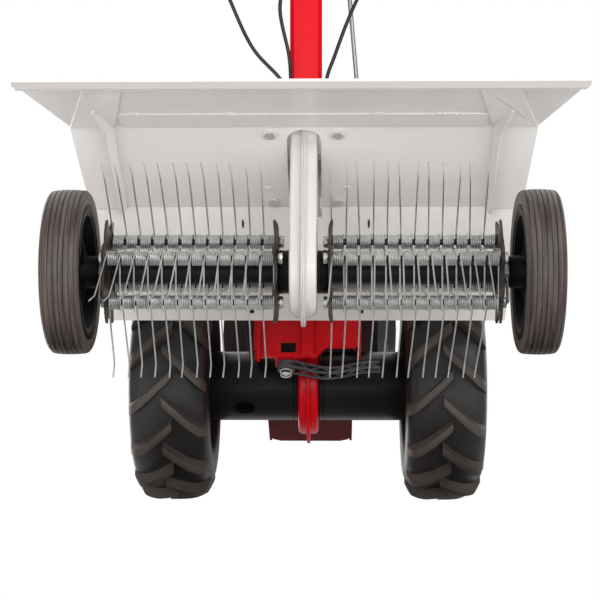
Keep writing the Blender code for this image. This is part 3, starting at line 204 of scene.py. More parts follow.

# %% [markdown]
# ## Finishes
# Nearly every surface on a garden machine is one of a few finishes: gloss paint on steel, bright zinc on
# fasteners and springs, dusty rubber, grained plastic and cast aluminium. One helper makes them all. It
# lets a coarse noise vary the colour and the roughness a little, and it lays a fine noise over the surface
# as a bump, because real paint ripples and real rubber has pores.


def finish(name, slot, colour, second, rough, rough_span=0.08, metal=0.0, coarse=6.0, fine=260.0,
           bump=0.05, depth=0.0004, coat=0.0, stretch=(1, 1, 1), gloss=0.5):
    """Colour = mix(colour, second, coarse noise), roughness = rough +- rough_span by the same noise.

    A fine noise is the height of the bump. Both noises read the place times the stretch, so that a stretch
    along X draws streaks across X."""
    material = bpy.data.materials.new(name)
    material.use_nodes = True
    tree = material.node_tree
    shader = tree.nodes["Principled BSDF"]
    place = add_node(tree, "ShaderNodeTexCoord")
    squeeze = add_node(tree, "ShaderNodeMapping", Scale=stretch)
    cloud = add_node(tree, "ShaderNodeTexNoise", Scale=coarse, Detail=5, Roughness=0.62)
    grain = add_node(tree, "ShaderNodeTexNoise", Scale=fine, Detail=3)
    ramp = add_node(tree, "ShaderNodeValToRGB")
    for stop, position, shade in zip(ramp.color_ramp.elements, (0.32, 0.72), (colour, second)):
        stop.position = position
        stop.color = (*shade, 1)
    spread = add_node(tree, "ShaderNodeMapRange", To_Min=rough - rough_span, To_Max=rough + rough_span)
    ripple = add_node(tree, "ShaderNodeBump", Strength=bump, Distance=depth)
    join(tree, (place.outputs["Object"], squeeze.inputs["Vector"]),
         (squeeze.outputs["Vector"], cloud.inputs["Vector"]),
         (squeeze.outputs["Vector"], grain.inputs["Vector"]), (cloud.outputs["Fac"], ramp.inputs["Fac"]),
         (ramp.outputs["Color"], shader.inputs["Base Color"]),
         (cloud.outputs["Fac"], spread.inputs["Value"]),
         (spread.outputs["Result"], shader.inputs["Roughness"]),
         (grain.outputs["Fac"], ripple.inputs["Height"]),
         (ripple.outputs["Normal"], shader.inputs["Normal"]))
    shader.inputs["Metallic"].default_value = metal
    shader.inputs["Coat Weight"].default_value = coat
    shader.inputs["Specular IOR Level"].default_value = gloss
    return material


# %% [markdown]
# The colours come from the photograph: a warm white, a signal red that turns dark in the shade, a satin
# black and a brown black for rubber that has stood in dust. Zinc is bright, and the springs' zinc is a
# little duller and greener. The white's values have a name, because the hood uses them again below.

# %% The finishes of this machine
warm_white = dict(slot="white_paint", colour=(0.80, 0.775, 0.755), second=(0.73, 0.70, 0.685), rough=0.34,
                  rough_span=0.07, coarse=4.0, bump=0.12, depth=0.0003, coat=0.2)
white = finish("white paint", **warm_white)
red = finish("red paint", "red_paint", (0.66, 0.0020, 0.010), (0.56, 0.0012, 0.007), 0.36, 0.06,
             coarse=5.0, bump=0.05, depth=0.0003, gloss=0.10)
# A darker copy of the red paint: painted shade for the hitch bracket and the drive case.
red_painted_shade = finish("red paint in painted shade", "red_paint", (0.56, 0.0012, 0.007), (0.44, 0.0008, 0.005),
                  0.32, 0.06, coarse=7.0, bump=0.08, depth=0.0003, gloss=0.25)
# A darker copy of the white paint: painted shade for the chain case, which has the hood's paint.
case_white_painted_shade = finish("white paint in painted shade", "white_paint", (0.64, 0.62, 0.605), (0.58, 0.56, 0.55),
                    0.36, 0.07, coarse=4.0, bump=0.12, depth=0.0003, coat=0.1)
dark_red = finish("dark red paint", "dark_red_paint", (0.075, 0.0004, 0.0015), (0.040, 0.0003, 0.001),
                  0.50, 0.08, coarse=7.0, gloss=0.05)
black = finish("satin black paint", "black_paint", (0.0035, 0.0032, 0.0035), (0.008, 0.0076, 0.008), 0.32,
               0.08, coarse=8.0, bump=0.08, depth=0.0003, gloss=0.20)
dark_steel = finish("dark coated steel", "dark_steel", (0.020, 0.015, 0.013), (0.085, 0.062, 0.050), 0.40,
                    0.10, metal=0.5, coarse=22.0, bump=0.2)
zinc = finish("bright zinc", "zinc_steel", (0.90, 0.90, 0.88), (0.76, 0.77, 0.74), 0.33, 0.07, metal=0.85,
              coarse=60.0, fine=900.0, bump=0.04, depth=0.0001)
spring_zinc = finish("spring zinc", "zinc_steel", (0.79, 0.81, 0.79), (0.58, 0.60, 0.59), 0.35, 0.05,
                     metal=1.0, coarse=60.0, fine=900.0, bump=0.03, depth=0.0001)
# A near black steel: painted shade for the rods, which are seen only in the gaps between the springs.
rod_painted_shade = finish("rod in shade", "plain_steel", (0.045, 0.044, 0.042), (0.020, 0.019, 0.018), 0.45,
                   0.08, metal=0.8, coarse=30.0)
steel = finish("turned steel", "plain_steel", (0.42, 0.42, 0.43), (0.30, 0.29, 0.28), 0.32, 0.08,
               metal=1.0, coarse=25.0)
tyre_rubber = finish("tyre rubber", "tyre_rubber", (0.0045, 0.0042, 0.0045), (0.013, 0.011, 0.010), 0.36,
                     0.10, coarse=14.0, fine=500.0, bump=0.20, depth=0.0004)
bar_rubber = finish("dusty tread rubber", "tyre_rubber", (0.018, 0.014, 0.012), (0.060, 0.045, 0.037),
                    0.55, 0.10, coarse=11.0, fine=420.0, bump=0.35, depth=0.0004)
tread_rubber = finish("depth wheel rubber", "tyre_rubber", (0.020, 0.015, 0.013), (0.105, 0.082, 0.072),
                      0.40, 0.12, coarse=13.0, fine=60.0, bump=0.40, depth=0.0005, stretch=(26, 1, 1))
grip_rubber = finish("grip rubber", "grip_rubber", (0.010, 0.010, 0.011), (0.022, 0.021, 0.021), 0.60,
                     0.08, coarse=30.0, fine=700.0, bump=0.3)
plastic = finish("black plastic", "black_plastic", (0.006, 0.006, 0.0065), (0.014, 0.013, 0.014), 0.38,
                 0.08, coarse=12.0, fine=900.0, bump=0.22, depth=0.0003)
cast = finish("cast aluminium", "cast_aluminium", (0.46, 0.46, 0.47), (0.34, 0.34, 0.34), 0.46, 0.10,
              metal=0.9, coarse=18.0, fine=600.0, bump=0.5, depth=0.0005)
exhaust = finish("heat black", "exhaust_black", (0.016, 0.015, 0.014), (0.050, 0.036, 0.028), 0.62, 0.12,
                 metal=0.3, coarse=9.0)
# A darker copy of the black plastic: painted shade for the depth wheels' rims and the lever's web.
plastic_painted_shade = finish("black plastic in painted shade", "black_plastic", (0.0020, 0.0020, 0.0022),
                      (0.0050, 0.0048, 0.0050), 0.42, 0.08, coarse=12.0, fine=900.0, bump=0.2,
                      depth=0.0003, gloss=0.12)
# A lighter copy of the black plastic: painted light for the lever's lit ribs and rails.
plastic_painted_light = finish("black plastic in painted light", "black_plastic", (0.036, 0.034, 0.036), (0.054, 0.051, 0.054),
                       0.46, 0.08, coarse=20.0, fine=900.0, bump=0.2, depth=0.0002)
sheath = finish("cable sheath", "black_plastic", (0.005, 0.005, 0.0055), (0.011, 0.011, 0.0115), 0.30,
                0.06, coarse=40.0, fine=1200.0, bump=0.1)

# %% [markdown]
# The hood has a paint of its own, with a painted shade on its hem, which faces the operator: the paint's
# colour is mixed with a greyer one, the painted shade, where the place lies behind the hem's line and below
# the folded edge, and the folded edge on top of the hem keeps the plain white. Both limits are soft steps of
# Object space.

# %% Paint of the hood, with a painted shade on its hem
hem_line = (rotor_y - 0.2674, rotor_y - 0.2684)
fold_line = (0.1812, 0.1796)
hood_white_painted_shade = finish("hood paint with painted shade", **warm_white)
hood_tree = hood_white_painted_shade.node_tree
hood_place = next(n for n in hood_tree.nodes if n.type == "TEX_COORD")
hood_shader = hood_tree.nodes["Principled BSDF"]
unshaded_colour = hood_shader.inputs["Base Color"].links[0].from_socket
axes = add_node(hood_tree, "ShaderNodeSeparateXYZ")
join(hood_tree, (hood_place.outputs["Object"], axes.inputs[0]))
# the mask of the painted shade: 1 behind the hem's line and below the folded edge
both = add_node(hood_tree, "ShaderNodeMath")
both.operation = "MULTIPLY"
for number, (axis, (start, end)) in enumerate((("Y", hem_line), ("Z", fold_line))):
    step = add_node(hood_tree, "ShaderNodeMapRange", From_Min=start, From_Max=end)
    join(hood_tree, (axes.outputs[axis], step.inputs["Value"]),
         (step.outputs["Result"], both.inputs[number]))
# painted shade: this mix lays a greyer white on the hem, in place of the shade that falls there
painted_shade = add_node(hood_tree, "ShaderNodeMix")
painted_shade.data_type = "RGBA"
painted_shade.inputs["B"].default_value = (0.40, 0.385, 0.375, 1)
join(hood_tree, (both.outputs[0], painted_shade.inputs["Factor"]), (unshaded_colour, painted_shade.inputs["A"]),
     (painted_shade.outputs["Result"], hood_shader.inputs["Base Color"]))
print("the hem is dull below z", fold_line[1])

# %% [markdown]
# ## Surfaces from arrays
# A new piece is a grid of points: rings of points, one ring for each station along the piece. Neighbours
# on the grid make four-sided faces. A helper turns any such grid into faces, and can close the two end
# rings with a fan of triangles to their centre, so that a piece is always a closed body.

# %% Grids of points into faces


def grid(points, caps=False, along=False):
    """(points, quads, triangles) of a grid points[station, place in ring, xyz].

    Quads join (i, j), (i, j+1), (i+1, j+1), (i+1, j). Caps join the pairs of the first and of the last ring
    to the ring's mean, and along joins the last ring to the first."""
    points = np.asarray(points, dtype=float)
    rows, columns = points.shape[:2]
    index = np.arange(rows * columns).reshape(rows, columns)
    a = index if along else index[:-1]
    b = np.roll(index, -1, axis=0) if along else index[1:]
    quads = np.stack((a, np.roll(a, -1, axis=1), np.roll(b, -1, axis=1), b), axis=-1).reshape(-1, 4)
    flat = points.reshape(-1, 3)
    triangles = np.zeros((0, 3), dtype=int)
    if caps:
        centres = np.stack((points[0].mean(axis=0), points[-1].mean(axis=0)))
        first, last = index[0], index[-1]
        low, high = len(flat), len(flat) + 1
        triangles = np.concatenate((
            np.stack((np.roll(first, -1), first, np.full(columns, low)), axis=-1),
            np.stack((last, np.roll(last, -1), np.full(columns, high)), axis=-1)))
        flat = np.concatenate((flat, centres))
    return flat, quads, triangles


def copies(part, places):
    """The same part once for each array of points in places, which has its own row for every copy."""
    _, quads, triangles = part
    first = (np.arange(len(places)) * places.shape[1])[:, None, None]
    quads, triangles = (quads[None] + first).reshape(-1, 4), (triangles[None] + first).reshape(-1, 3)
    return places.reshape(-1, 3), quads, triangles


# %% [markdown]
# The next helpers gather such parts into one mesh, give it a finish and a body to ride on, and hide the
# frame's nodes that it stands for. Blender turns all faces outward once, which is the safe way
# when a profile was turned or mirrored.

# %% Parts into a finished piece
import bmesh

made = {}


def solid(name, parts):
    """Puts the parts' arrays into one mesh and turns its faces outward."""
    points, corners, starts = [], [], []
    base = loop = 0
    for verts, quads, triangles in parts:
        points.append(verts)
        for faces in (quads, triangles):
            if len(faces):
                corners.append((faces + base).reshape(-1))
                starts.append(loop + np.arange(len(faces)) * faces.shape[1])
                loop += faces.size
        base += len(verts)
    points = np.concatenate(points)
    corners, starts = np.concatenate(corners), np.concatenate(starts)
    mesh = bpy.data.meshes.new(name)
    mesh.vertices.add(len(points))
    mesh.vertices.foreach_set("co", points.astype(np.float32).ravel())
    mesh.loops.add(len(corners))
    mesh.loops.foreach_set("vertex_index", corners.astype(np.int32))
    mesh.polygons.add(len(starts))
    mesh.polygons.foreach_set("loop_start", starts.astype(np.int32))
    mesh.update(calc_edges=True)
    mesh.validate()
    turner = bmesh.new()
    turner.from_mesh(mesh)
    bmesh.ops.remove_doubles(turner, verts=turner.verts, dist=1e-7)
    bmesh.ops.recalc_face_normals(turner, faces=turner.faces)
    turner.to_mesh(mesh)
    turner.free()
    return mesh


def piece(name, parts, material, body, stands_for=(), smooth=38):
    """Makes an object of the parts' mesh and lets it ride; edges above smooth degrees stay sharp."""
    mesh = solid(name, parts)
    mesh.materials.append(material)
    mesh.shade_smooth()
    mesh.set_sharp_from_angle(angle=math.radians(smooth))
    obj = bpy.data.objects.new(name, mesh)
    scene.collection.objects.link(obj)
    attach(obj, body)
    if stands_for:
        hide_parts(*stands_for)
    made[name] = len(mesh.polygons)
    return obj


# %% [markdown]
# Three kinds of surface cover most of the machine. A turned piece is a profile carried round an axis
# along X. A swept piece is a ring carried along a path. A tube with a changing radius is the second kind
# with a list of radii.

# %% Turned and swept surfaces
side_to_side = np.array((1.0, 0.0, 0.0))
upright = np.array((0.0, 0.0, 1.0))


def turned(profile, steps, at=(0, 0, 0), closed=True):
    """Ring i: (x_i, r_i cos t, r_i sin t) for t from 0 to a full turn; a closed profile joins its ends."""
    profile = np.asarray(profile, dtype=float)
    t = np.linspace(0, math.tau, steps, endpoint=False) + math.pi / steps
    x = np.broadcast_to(profile[:, :1], (len(profile), steps))
    rings = np.stack((x, profile[:, 1:] * np.cos(t), profile[:, 1:] * np.sin(t)), axis=-1)
    return grid(rings + np.asarray(at, dtype=float), along=closed, caps=not closed)


def swept(path, radius, sides, reference=side_to_side):
    """Circles of the radius round each point, in the plane across the path there.

    Across the path means the two directions u = reference x tangent and v = tangent x u."""
    path = np.asarray(path, dtype=float)
    tangent = np.gradient(path, axis=0)
    tangent /= np.linalg.norm(tangent, axis=-1, keepdims=True)
    u = np.cross(np.broadcast_to(reference, tangent.shape), tangent)
    u /= np.linalg.norm(u, axis=-1, keepdims=True)
    v = np.cross(tangent, u)
    t = np.linspace(0, math.tau, sides, endpoint=False)[:, None]
    radius = np.broadcast_to(np.asarray(radius, dtype=float), len(path))[:, None, None]
    return grid(path[:, None] + radius * (u[:, None] * np.cos(t) + v[:, None] * np.sin(t)), caps=True)


def smooth_path(points, per_span):
    """Catmull-Rom curve: 0.5 (2b + (c-a)t + (2a-5b+4c-d)t^2 + (3b-a-3c+d)t^3) on each span b to c."""
    p = np.asarray(points, dtype=float)
    p = np.concatenate((2 * p[:1] - p[1:2], p, 2 * p[-1:] - p[-2:-1]))
    a, b, c, d = (p[i:len(p) - 3 + i, None, :] for i in range(4))
    t = (np.arange(per_span) / per_span)[None, :, None]
    curve = 0.5 * (2 * b + (c - a) * t + (2 * a - 5 * b + 4 * c - d) * t**2
                   + (3 * b - a - 3 * c + d) * t**3)
    return np.concatenate((curve.reshape(-1, 3), p[-2:-1]))


def stacked(outlines, **kind):
    """A grid of outlines (x, points of y and z), one ring for each."""
    return grid(np.stack([np.column_stack((np.full(len(ring), x), ring)) for x, ring in outlines]), **kind)


print("helpers ready: grid, copies, piece, turned, swept, smooth_path, stacked")

# %% [markdown]
# Bolts and nuts are turned pieces whose outline is six-sided. A real hexagon has its corners cut by a
# cone at the face, which is why a worn bolt looks round from above. Here the outline's radius is
# R cos(30) / cos(angle to the middle of the flat), held below a limit near the two faces.

# %% Hexagons for bolts and nuts


def hexagon(x0, x1, radius, at=(0, 0, 0), steps=36, turn=0.0):
    """A six-sided prism along X with coned faces, as a bolt's head or a nut."""
    t = np.linspace(0, math.tau, steps, endpoint=False)
    flat = np.mod(t, math.pi / 3) - math.pi / 6
    outline = radius * math.cos(math.pi / 6) / np.cos(flat)
    cone = (x1 - x0) * 0.14
    wide, narrow = radius * 1.01, radius * 0.86
    limits = ((x0, narrow), (x0 + cone, wide), (x1 - cone, wide), (x1, narrow))
    rings = [np.stack((np.full(steps, x), np.minimum(outline, limit) * np.cos(t + turn),
                       np.minimum(outline, limit) * np.sin(t + turn)), axis=-1) for x, limit in limits]
    return grid(np.stack(rings) + np.asarray(at, dtype=float), caps=True)


def swing(part, place, turn):
    """A part turned by a 3 x 3 matrix round the origin and set down at a place."""
    verts, quads, triangles = part
    return verts @ turn.T + np.asarray(place, dtype=float), quads, triangles


x_to_z = np.array(((0.0, 0, -1), (0, 1, 0), (1, 0, 0)))
x_to_y = np.array(((0.0, -1, 0), (1, 0, 0), (0, 0, 1)))
print("a turn for upright pieces has determinant", round(float(np.linalg.det(x_to_z))))

# %% [markdown]
# ## Nodes that keep their shape
# Flat and folded pieces of the frame are already right, but their edges are razor sharp, and no real
# sheet or casting has such an edge. The frame's mesh must stay as it is, so the edges are rounded by
# modifiers: Weld joins the loose triangles, and Bevel rounds every edge sharper than an angle.

# %% Rounding the edges of the frame's own nodes


def soften(node, material, width=0.0006, segments=2, angle=32):
    """Gives a frame node its finish and rounds its sharp edges by a width in metres."""
    obj = nodes[node]
    obj.data.materials.clear()
    obj.data.materials.append(material)
    weld = obj.modifiers.new("weld", "WELD")
    weld.merge_threshold = 0.00002
    bevel = obj.modifiers.new("round", "BEVEL")
    bevel.width = width
    bevel.segments = segments
    bevel.limit_method = "ANGLE"
    bevel.angle_limit = math.radians(angle)
    bevel.harden_normals = True
    bevel.use_clamp_overlap = True


for names, material, *rounding in (
        (("hood",), hood_white_painted_shade), (("hood_rail_left", "hood_rail_right"), white),
        (("gear_head",), white, 0.0015, 3), (("mast",), red, 0.0012, 3),
        # the hitch bracket takes the darker red, a painted shade
        (("hitch_bracket",), red_painted_shade, 0.0007), (("bracket_plate",), zinc, 0.0004),
        (("engine_bed",), dark_red), (("engine_block",), cast, 0.0012),
        (("fan_cover", "air_filter"), plastic, 0.0012), (("fuel_tank",), plastic, 0.003, 3),
        (("starter_handle", "fuel_cap", "clutch_lever", "drive_lever", "throttle_lever"), plastic, 0.0008),
        (("muffler",), exhaust, 0.003, 3),
        (("rotor_shaft", "lower_sprocket", "upper_sprocket", "drive_chain", "axle_shaft"), steel, 0.0003)):
    for node in names:
        soften(node, material, *rounding)
print("softened nodes:", sum(1 for o in nodes.values() if "round" in o.modifiers))

# %% [markdown]
# ## The spring tines
# Each rotor carries four rods, and each rod carries twelve springs. A spring is one wire: a long tine
# that combs the lawn, a little over six turns round the rod, and a short arm that leans on the springs of
# the next rod so that the tine can't swing back. The whole wire is one path, so the coil is a true helix
# and not a stack of rings. It could be made as a curve object, but ninety-six springs are quicker and
# lighter as one array: the path of one spring, moved along the rod twelve times. Below, a direction in the
# plane across the rod is (outward, forward), and the tine swings back by about forty degrees.

# %% Sizes of a spring, and the path of its wire
rod_angles = (83.0, 173.0, 263.0, 353.0)
rod_circle = 0.040
springs = 12
pitch = 0.0168
coil_width = 0.0158
wire = 0.00104
coil = 0.0079
whole_turns = 6


def swung_back(degrees):
    """Unit direction (cos, -sin): outward at 0 degrees, and straight back at 90."""
    return np.array((math.cos(math.radians(degrees)), -math.sin(math.radians(degrees))))


tine_tip = 0.134 * swung_back(38) - (rod_circle, 0)
tine_elbow = tine_tip - 0.018 * swung_back(40)


def leave_coil(target, hand):
    """Unit direction of the line from the coil's circle to the target, and the point where it touches it.

    The touch point lies at the coil's radius, a quarter turn to the left (hand +1) or right (-1)."""
    angle = math.atan2(target[1], target[0]) - hand * math.asin(coil / math.hypot(*target))
    way = np.array((math.cos(angle), math.sin(angle)))
    return way, coil * hand * np.array((-way[1], way[0]))


next_rod = np.array((-rod_circle, -rod_circle))
arm_rest = next_rod + (coil + 2 * wire + 0.0007) * np.array((1, -1)) / math.sqrt(2)
wrap = np.radians((-62, -79, -96))
arm_wrap = next_rod + (coil + 2 * wire + 0.0003) * np.stack((np.cos(wrap), np.sin(wrap)), axis=-1)
_, tine_touch = leave_coil(tine_elbow, 1)
arm_way, arm_touch = leave_coil(arm_rest, -1)
start_angle = math.atan2(tine_touch[1], tine_touch[0])
end_angle = math.atan2(arm_touch[1], arm_touch[0]) + whole_turns * math.tau
if end_angle - start_angle < whole_turns * math.tau:
    end_angle += math.tau
turns = (end_angle - start_angle) / math.tau
wire_gap = (coil_width - 2 * wire) / turns
print("turns of a coil", round(turns, 2), "wire to wire", round(wire_gap * 1000, 2), "mm")

# %% [markdown]
# The springs of a used machine are never in step. Each tine leans a little along the rod, and past its
# elbow the left rotor's tines are bent further to the left. So every station of the wire gets two shares
# from 0 to 1: its share of the lean, which grows from the coil to the tip, and its share of the kick, which
# only the last stations of the tine have.

# %% The wire's path, and what moves when it leans
corner = 0.0035
steps_per_turn = 14
wire_sides = 6
tine_stations = 6
tip_kick = {"left": -0.0023, "right": -0.0004}


def spring_path():
    """Points (x, forward, outward) of one wire: tine, helix a -> (coil cos a, coil sin a), arm."""
    t = np.linspace(0, 1, int(turns * steps_per_turn) + 1)
    a = start_angle + (end_angle - start_angle) * t
    helix = np.stack((wire + (coil_width - 2 * wire) * t, coil * np.sin(a), coil * np.cos(a)), axis=-1)
    bend = tine_elbow + corner * (tine_touch - tine_elbow) / np.linalg.norm(tine_touch - tine_elbow)
    past = tine_elbow + corner * (tine_tip - tine_elbow) / np.linalg.norm(tine_tip - tine_elbow)
    soft = 0.5 * tine_elbow + 0.25 * (bend + past)
    tine = np.stack((tine_tip, (tine_tip + past) / 2, past, soft, bend, (bend + tine_touch) / 2))
    arm = np.stack(((arm_touch + arm_rest) / 2, arm_rest - 0.003 * arm_way, arm_rest, *arm_wrap))
    lay = [np.stack((np.full(len(p), x), p[:, 1], p[:, 0]), axis=-1)
           for p, x in ((tine, wire), (arm, coil_width - wire))]
    return np.concatenate((lay[0], helix, lay[1]))


def share_of_points(first):
    """The first stations' shares, and 0 for the rest, for every point of the rings and the two caps."""
    share = np.zeros(len(one_spring))
    share[:len(first)] = first
    return np.concatenate((np.repeat(share, wire_sides), share[[0, -1]]))


one_spring = spring_path()
spring_rings = swept(one_spring, wire, wire_sides)
away = np.hypot(one_spring[:tine_stations, 1], one_spring[:tine_stations, 2])
lean_share = share_of_points((away - coil) / (away[0] - coil))
kick_share = share_of_points((1.0, 0.58, 0.16, 0.03))
print("one spring:", len(one_spring), "stations,", len(spring_rings[1]), "faces")

# %% [markdown]
# The rod is a turned piece with a hexagonal head at the star plate near the chain case, and a nut with a
# short end of thread at the other plate. Everything is drawn once with the rod lying along X, and then
# set at its angle on the rotor: outward is (-cos, sin) and forward is (sin, cos) of that angle.
# The table gives each row's lean in metres: of its first tine, of its last one, and how far they scatter.

# %% Rod, head and nut, and the row at its place
head = 0.0055
plate = 0.0036
rod_radius = 0.0038
nut_radius = 0.0075
stick_out = plate + head
row_length = springs * pitch
steps_along = (pitch - coil_width) / 2 + np.arange(springs) * pitch
leans = {("left", 1): (-0.0062, -0.0016, 0.0010), ("left", 2): (-0.0040, -0.0040, 0.0020),
         ("left", 3): (0.0005, 0.0025, 0.0010), ("left", 4): (-0.0058, -0.0010, 0.0010),
         ("right", 1): (-0.0020, -0.0010, 0.0034), ("right", 2): (-0.0040, -0.0040, 0.0020),
         ("right", 3): (-0.0030, -0.0085, 0.0012), ("right", 4): (-0.0025, 0.0022, 0.0022)}


def place_row(part, x, angle):
    """(x, forward, outward) becomes x, and y, z by the row's angle round the rotor."""
    verts, quads, triangles = part
    turn = math.radians(angle)
    outward = verts[:, 2] + rod_circle
    y = rotor_y - outward * math.cos(turn) + verts[:, 1] * math.sin(turn)
    z = rotor_z + outward * math.sin(turn) + verts[:, 1] * math.cos(turn)
    return np.stack((verts[:, 0] + x, y, z), axis=-1), quads, triangles


def rod_parts(side, length):
    """Six-sided head next to the chain case, nut and washer at the outer end, and last the threaded rod."""
    thread = rod_radius + 0.00018 * np.cos(np.linspace(0, 10 * math.pi, 41))
    end = length + stick_out
    washer, nut = length + 0.0037, length + 0.0044
    profile = [(-plate - head * 0.5, rod_radius), (length + 0.0040 + head * 0.55, rod_radius)]
    profile += list(zip(np.linspace(end - head * 0.4, end, 41), thread))
    parts = [hexagon(-stick_out, -plate, nut_radius),
             hexagon(nut, length + plate + head * 0.86, nut_radius, turn=0.4),
             turned([(washer, 0.0042), (washer, 0.0078), (nut, 0.0078), (nut, 0.0042)], 28),
             turned(profile, 20, closed=False)]
    if side == "left":
        parts = [(np.stack((length - v[:, 0], v[:, 1], v[:, 2]), axis=-1), q, t) for v, q, t in parts]
    return parts


def leaning_springs(first, last, spread, seed, kick):
    """Twelve springs; tip i leans along the rod by first + (last - first) i/11 + spread sin(2.4i + seed).

    Past its elbow each tine is bent along the rod as well, by the kick at its tip."""
    lean = np.linspace(first, last, springs) + spread * np.sin(2.4 * np.arange(springs) + seed)
    along = steps_along[:, None] + lean[:, None] * lean_share[None] + kick * kick_share[None]
    return copies(spring_rings, spring_rings[0][None] + along[..., None] * side_to_side)


for side in ("left", "right"):
    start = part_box(f"tine_row_{side}_1")[0][0] + stick_out
    rods = []
    for number, angle in enumerate(rod_angles, 1):
        seed = number * 1.7 + (4.0 if side == "right" else 0.0)
        row = leaning_springs(*leans[side, number], seed, tip_kick[side])
        *ends, rod = [place_row(part, start, angle) for part in rod_parts(side, row_length)]
        rods.append(rod)
        piece(f"tines_{side}_{number}", [place_row(row, start, angle), *ends], spring_zinc, "rotor",
              [f"tine_row_{side}_{number}"], smooth=50)
    # the rods wear the near black steel, a painted shade
    piece(f"rods_{side}", rods, rod_painted_shade, "rotor")
print("tine rows:", sum(v for k, v in made.items() if k.startswith("tines")), "faces")

# %% [markdown]
# ## Rotor frames
# A rotor frame is a dark steel tube with a star-shaped plate welded near each end. The star's outline is
# eight short flat tips joined by straight edges that dip between them. The plate is a small profile, with
# its two edges broken, carried round that outline, and the weld is a bumpy ring in the corner.

# %% Star plates, tube and welds
tips = 8
tip_radius, valley_radius = 0.066, 0.049
tip_half = 0.07
tube_radius = 0.0145


def star_outline(steps_per_edge=6):
    """Points (y, z) along straight edges from tip corner to tip corner to valley, and so on round."""
    step, radius = np.array([(i + share, r) for i in range(tips) for share, r in
                             ((-tip_half, tip_radius), (tip_half, tip_radius), (0.5, valley_radius))]).T
    turn = math.radians(90 - rod_angles[0]) + math.pi / 2 + step * math.tau / tips
    p = np.stack((radius * np.cos(turn), radius * np.sin(turn)), axis=-1)
    q = np.roll(p, -1, axis=0)
    t = (np.arange(steps_per_edge) / steps_per_edge)[None, :, None]
    return (p[:, None] + (q - p)[:, None] * t).reshape(-1, 2)


def star_plate(x0, x1, inner, bend):
    """The closed profile (x, share of the outline) round the star, from the tube out to the broken edge.

    Past the valleys the plate bends along X by bend ((r - valley) / (tip - valley))^2, so that its tips
    guard the springs."""
    outline = star_outline()
    turn = np.arctan2(outline[:, 1], outline[:, 0])
    hub = inner * np.stack((np.cos(turn), np.sin(turn)), axis=-1)
    edge, mean_radius = 0.0005, 0.058
    face = outline * (1 - edge / mean_radius)
    rings = [(x0, hub), (x0, face), (x0 + edge, outline), (x1 - edge, outline), (x1, face), (x1, hub)]
    points = np.stack([np.column_stack((np.full(len(o), x), o)) for x, o in rings])
    radius = np.hypot(points[..., 1], points[..., 2])
    past = np.clip((radius - valley_radius) / (tip_radius - valley_radius), 0, 1)
    points[..., 0] += bend * past ** 2
    return grid(points + rotor_centre, along=True)


def weld_ring(x, radius, thick, lean):
    """A ring of overlapping beads: thickness = thick (1 + 0.18 cos 40t), leaning off the plate."""
    t = np.linspace(0, math.tau, 240, endpoint=False)
    beads = thick * (1 + 0.18 * np.cos(40 * t))
    around = np.linspace(0, math.tau, 8, endpoint=False)
    r = radius + beads[:, None] * np.cos(around)
    points = np.stack((x + lean * 0.3 * thick + beads[:, None] * np.sin(around), r * np.cos(t)[:, None],
                       r * np.sin(t)[:, None]), axis=-1)
    return grid(points + rotor_centre, along=True)


for side, sign in both_sides:
    low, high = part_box(f"rotor_frame_{side}")
    inner_face, outer_face = (high[0], low[0]) if sign < 0 else (low[0], high[0])
    plates = [(inner_face, inner_face + sign * 0.003), (outer_face - sign * 0.003, outer_face)]
    near, far = inner_face + sign * 0.0003, outer_face - sign * 0.0003
    tube = turned([(near, 0.0105), (near, tube_radius), (far, tube_radius), (far, 0.0105)], 48,
                  rotor_centre)
    piece(f"rotor_tube_{side}", [tube], black, "rotor", [f"rotor_frame_{side}"])
    bends = (sign * 0.0032, -sign * 0.0010)
    parts = [star_plate(min(p), max(p), 0.0140, bend) for p, bend in zip(plates, bends)]
    parts += [weld_ring(x, 0.0150, 0.0016, lean)
              for x, lean in ((plates[0][1], sign), (plates[1][0], -sign))]
    piece(f"star_frame_{side}", parts, dark_steel, "rotor")
print("star frames:", made["star_frame_left"], "faces each")

# %% [markdown]
# ## Bearings and retaining clips
# Between the chain case and each rotor sits a black bearing collar. It is a turned disc with rounded
# corners and one shallow groove.

# %% Bearing collars


def bearing_profile(x0, x1):
    """Points (x, radius) of the collar: bore, rounded corner, a groove of 0.6 mm depth, rounded corner."""
    return [(x0, 0.0108), (x0, 0.0250), (x0 + 0.001, 0.0264), (x0 + 0.0045, 0.0264), (x0 + 0.0050, 0.0258),
            (x0 + 0.0056, 0.0258), (x0 + 0.0061, 0.0264), (x1 - 0.0014, 0.0264), (x1 - 0.0004, 0.0258),
            (x1, 0.0250), (x1, 0.0108)]


for side, sign in both_sides:
    low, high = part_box(f"rotor_bearing_{side}")
    x0, x1 = sorted((abs(low[0]), abs(high[0])))
    profile = np.array(bearing_profile(x0, x1)) * (sign, 1)
    piece(f"collar_{side}", [turned(profile, 72, rotor_centre)], black, "machine",
          [f"rotor_bearing_{side}"])
print("collars:", made["collar_left"], "faces each")

# %% [markdown]
# On the shaft's outer ends a hairpin clip of bright wire keeps the rotor in place: one leg goes through
# the shaft and the other snaps round it. Its points are given as (y, z) from the rotor's axis, a smooth
# curve goes through them, and a circle is carried along the curve.

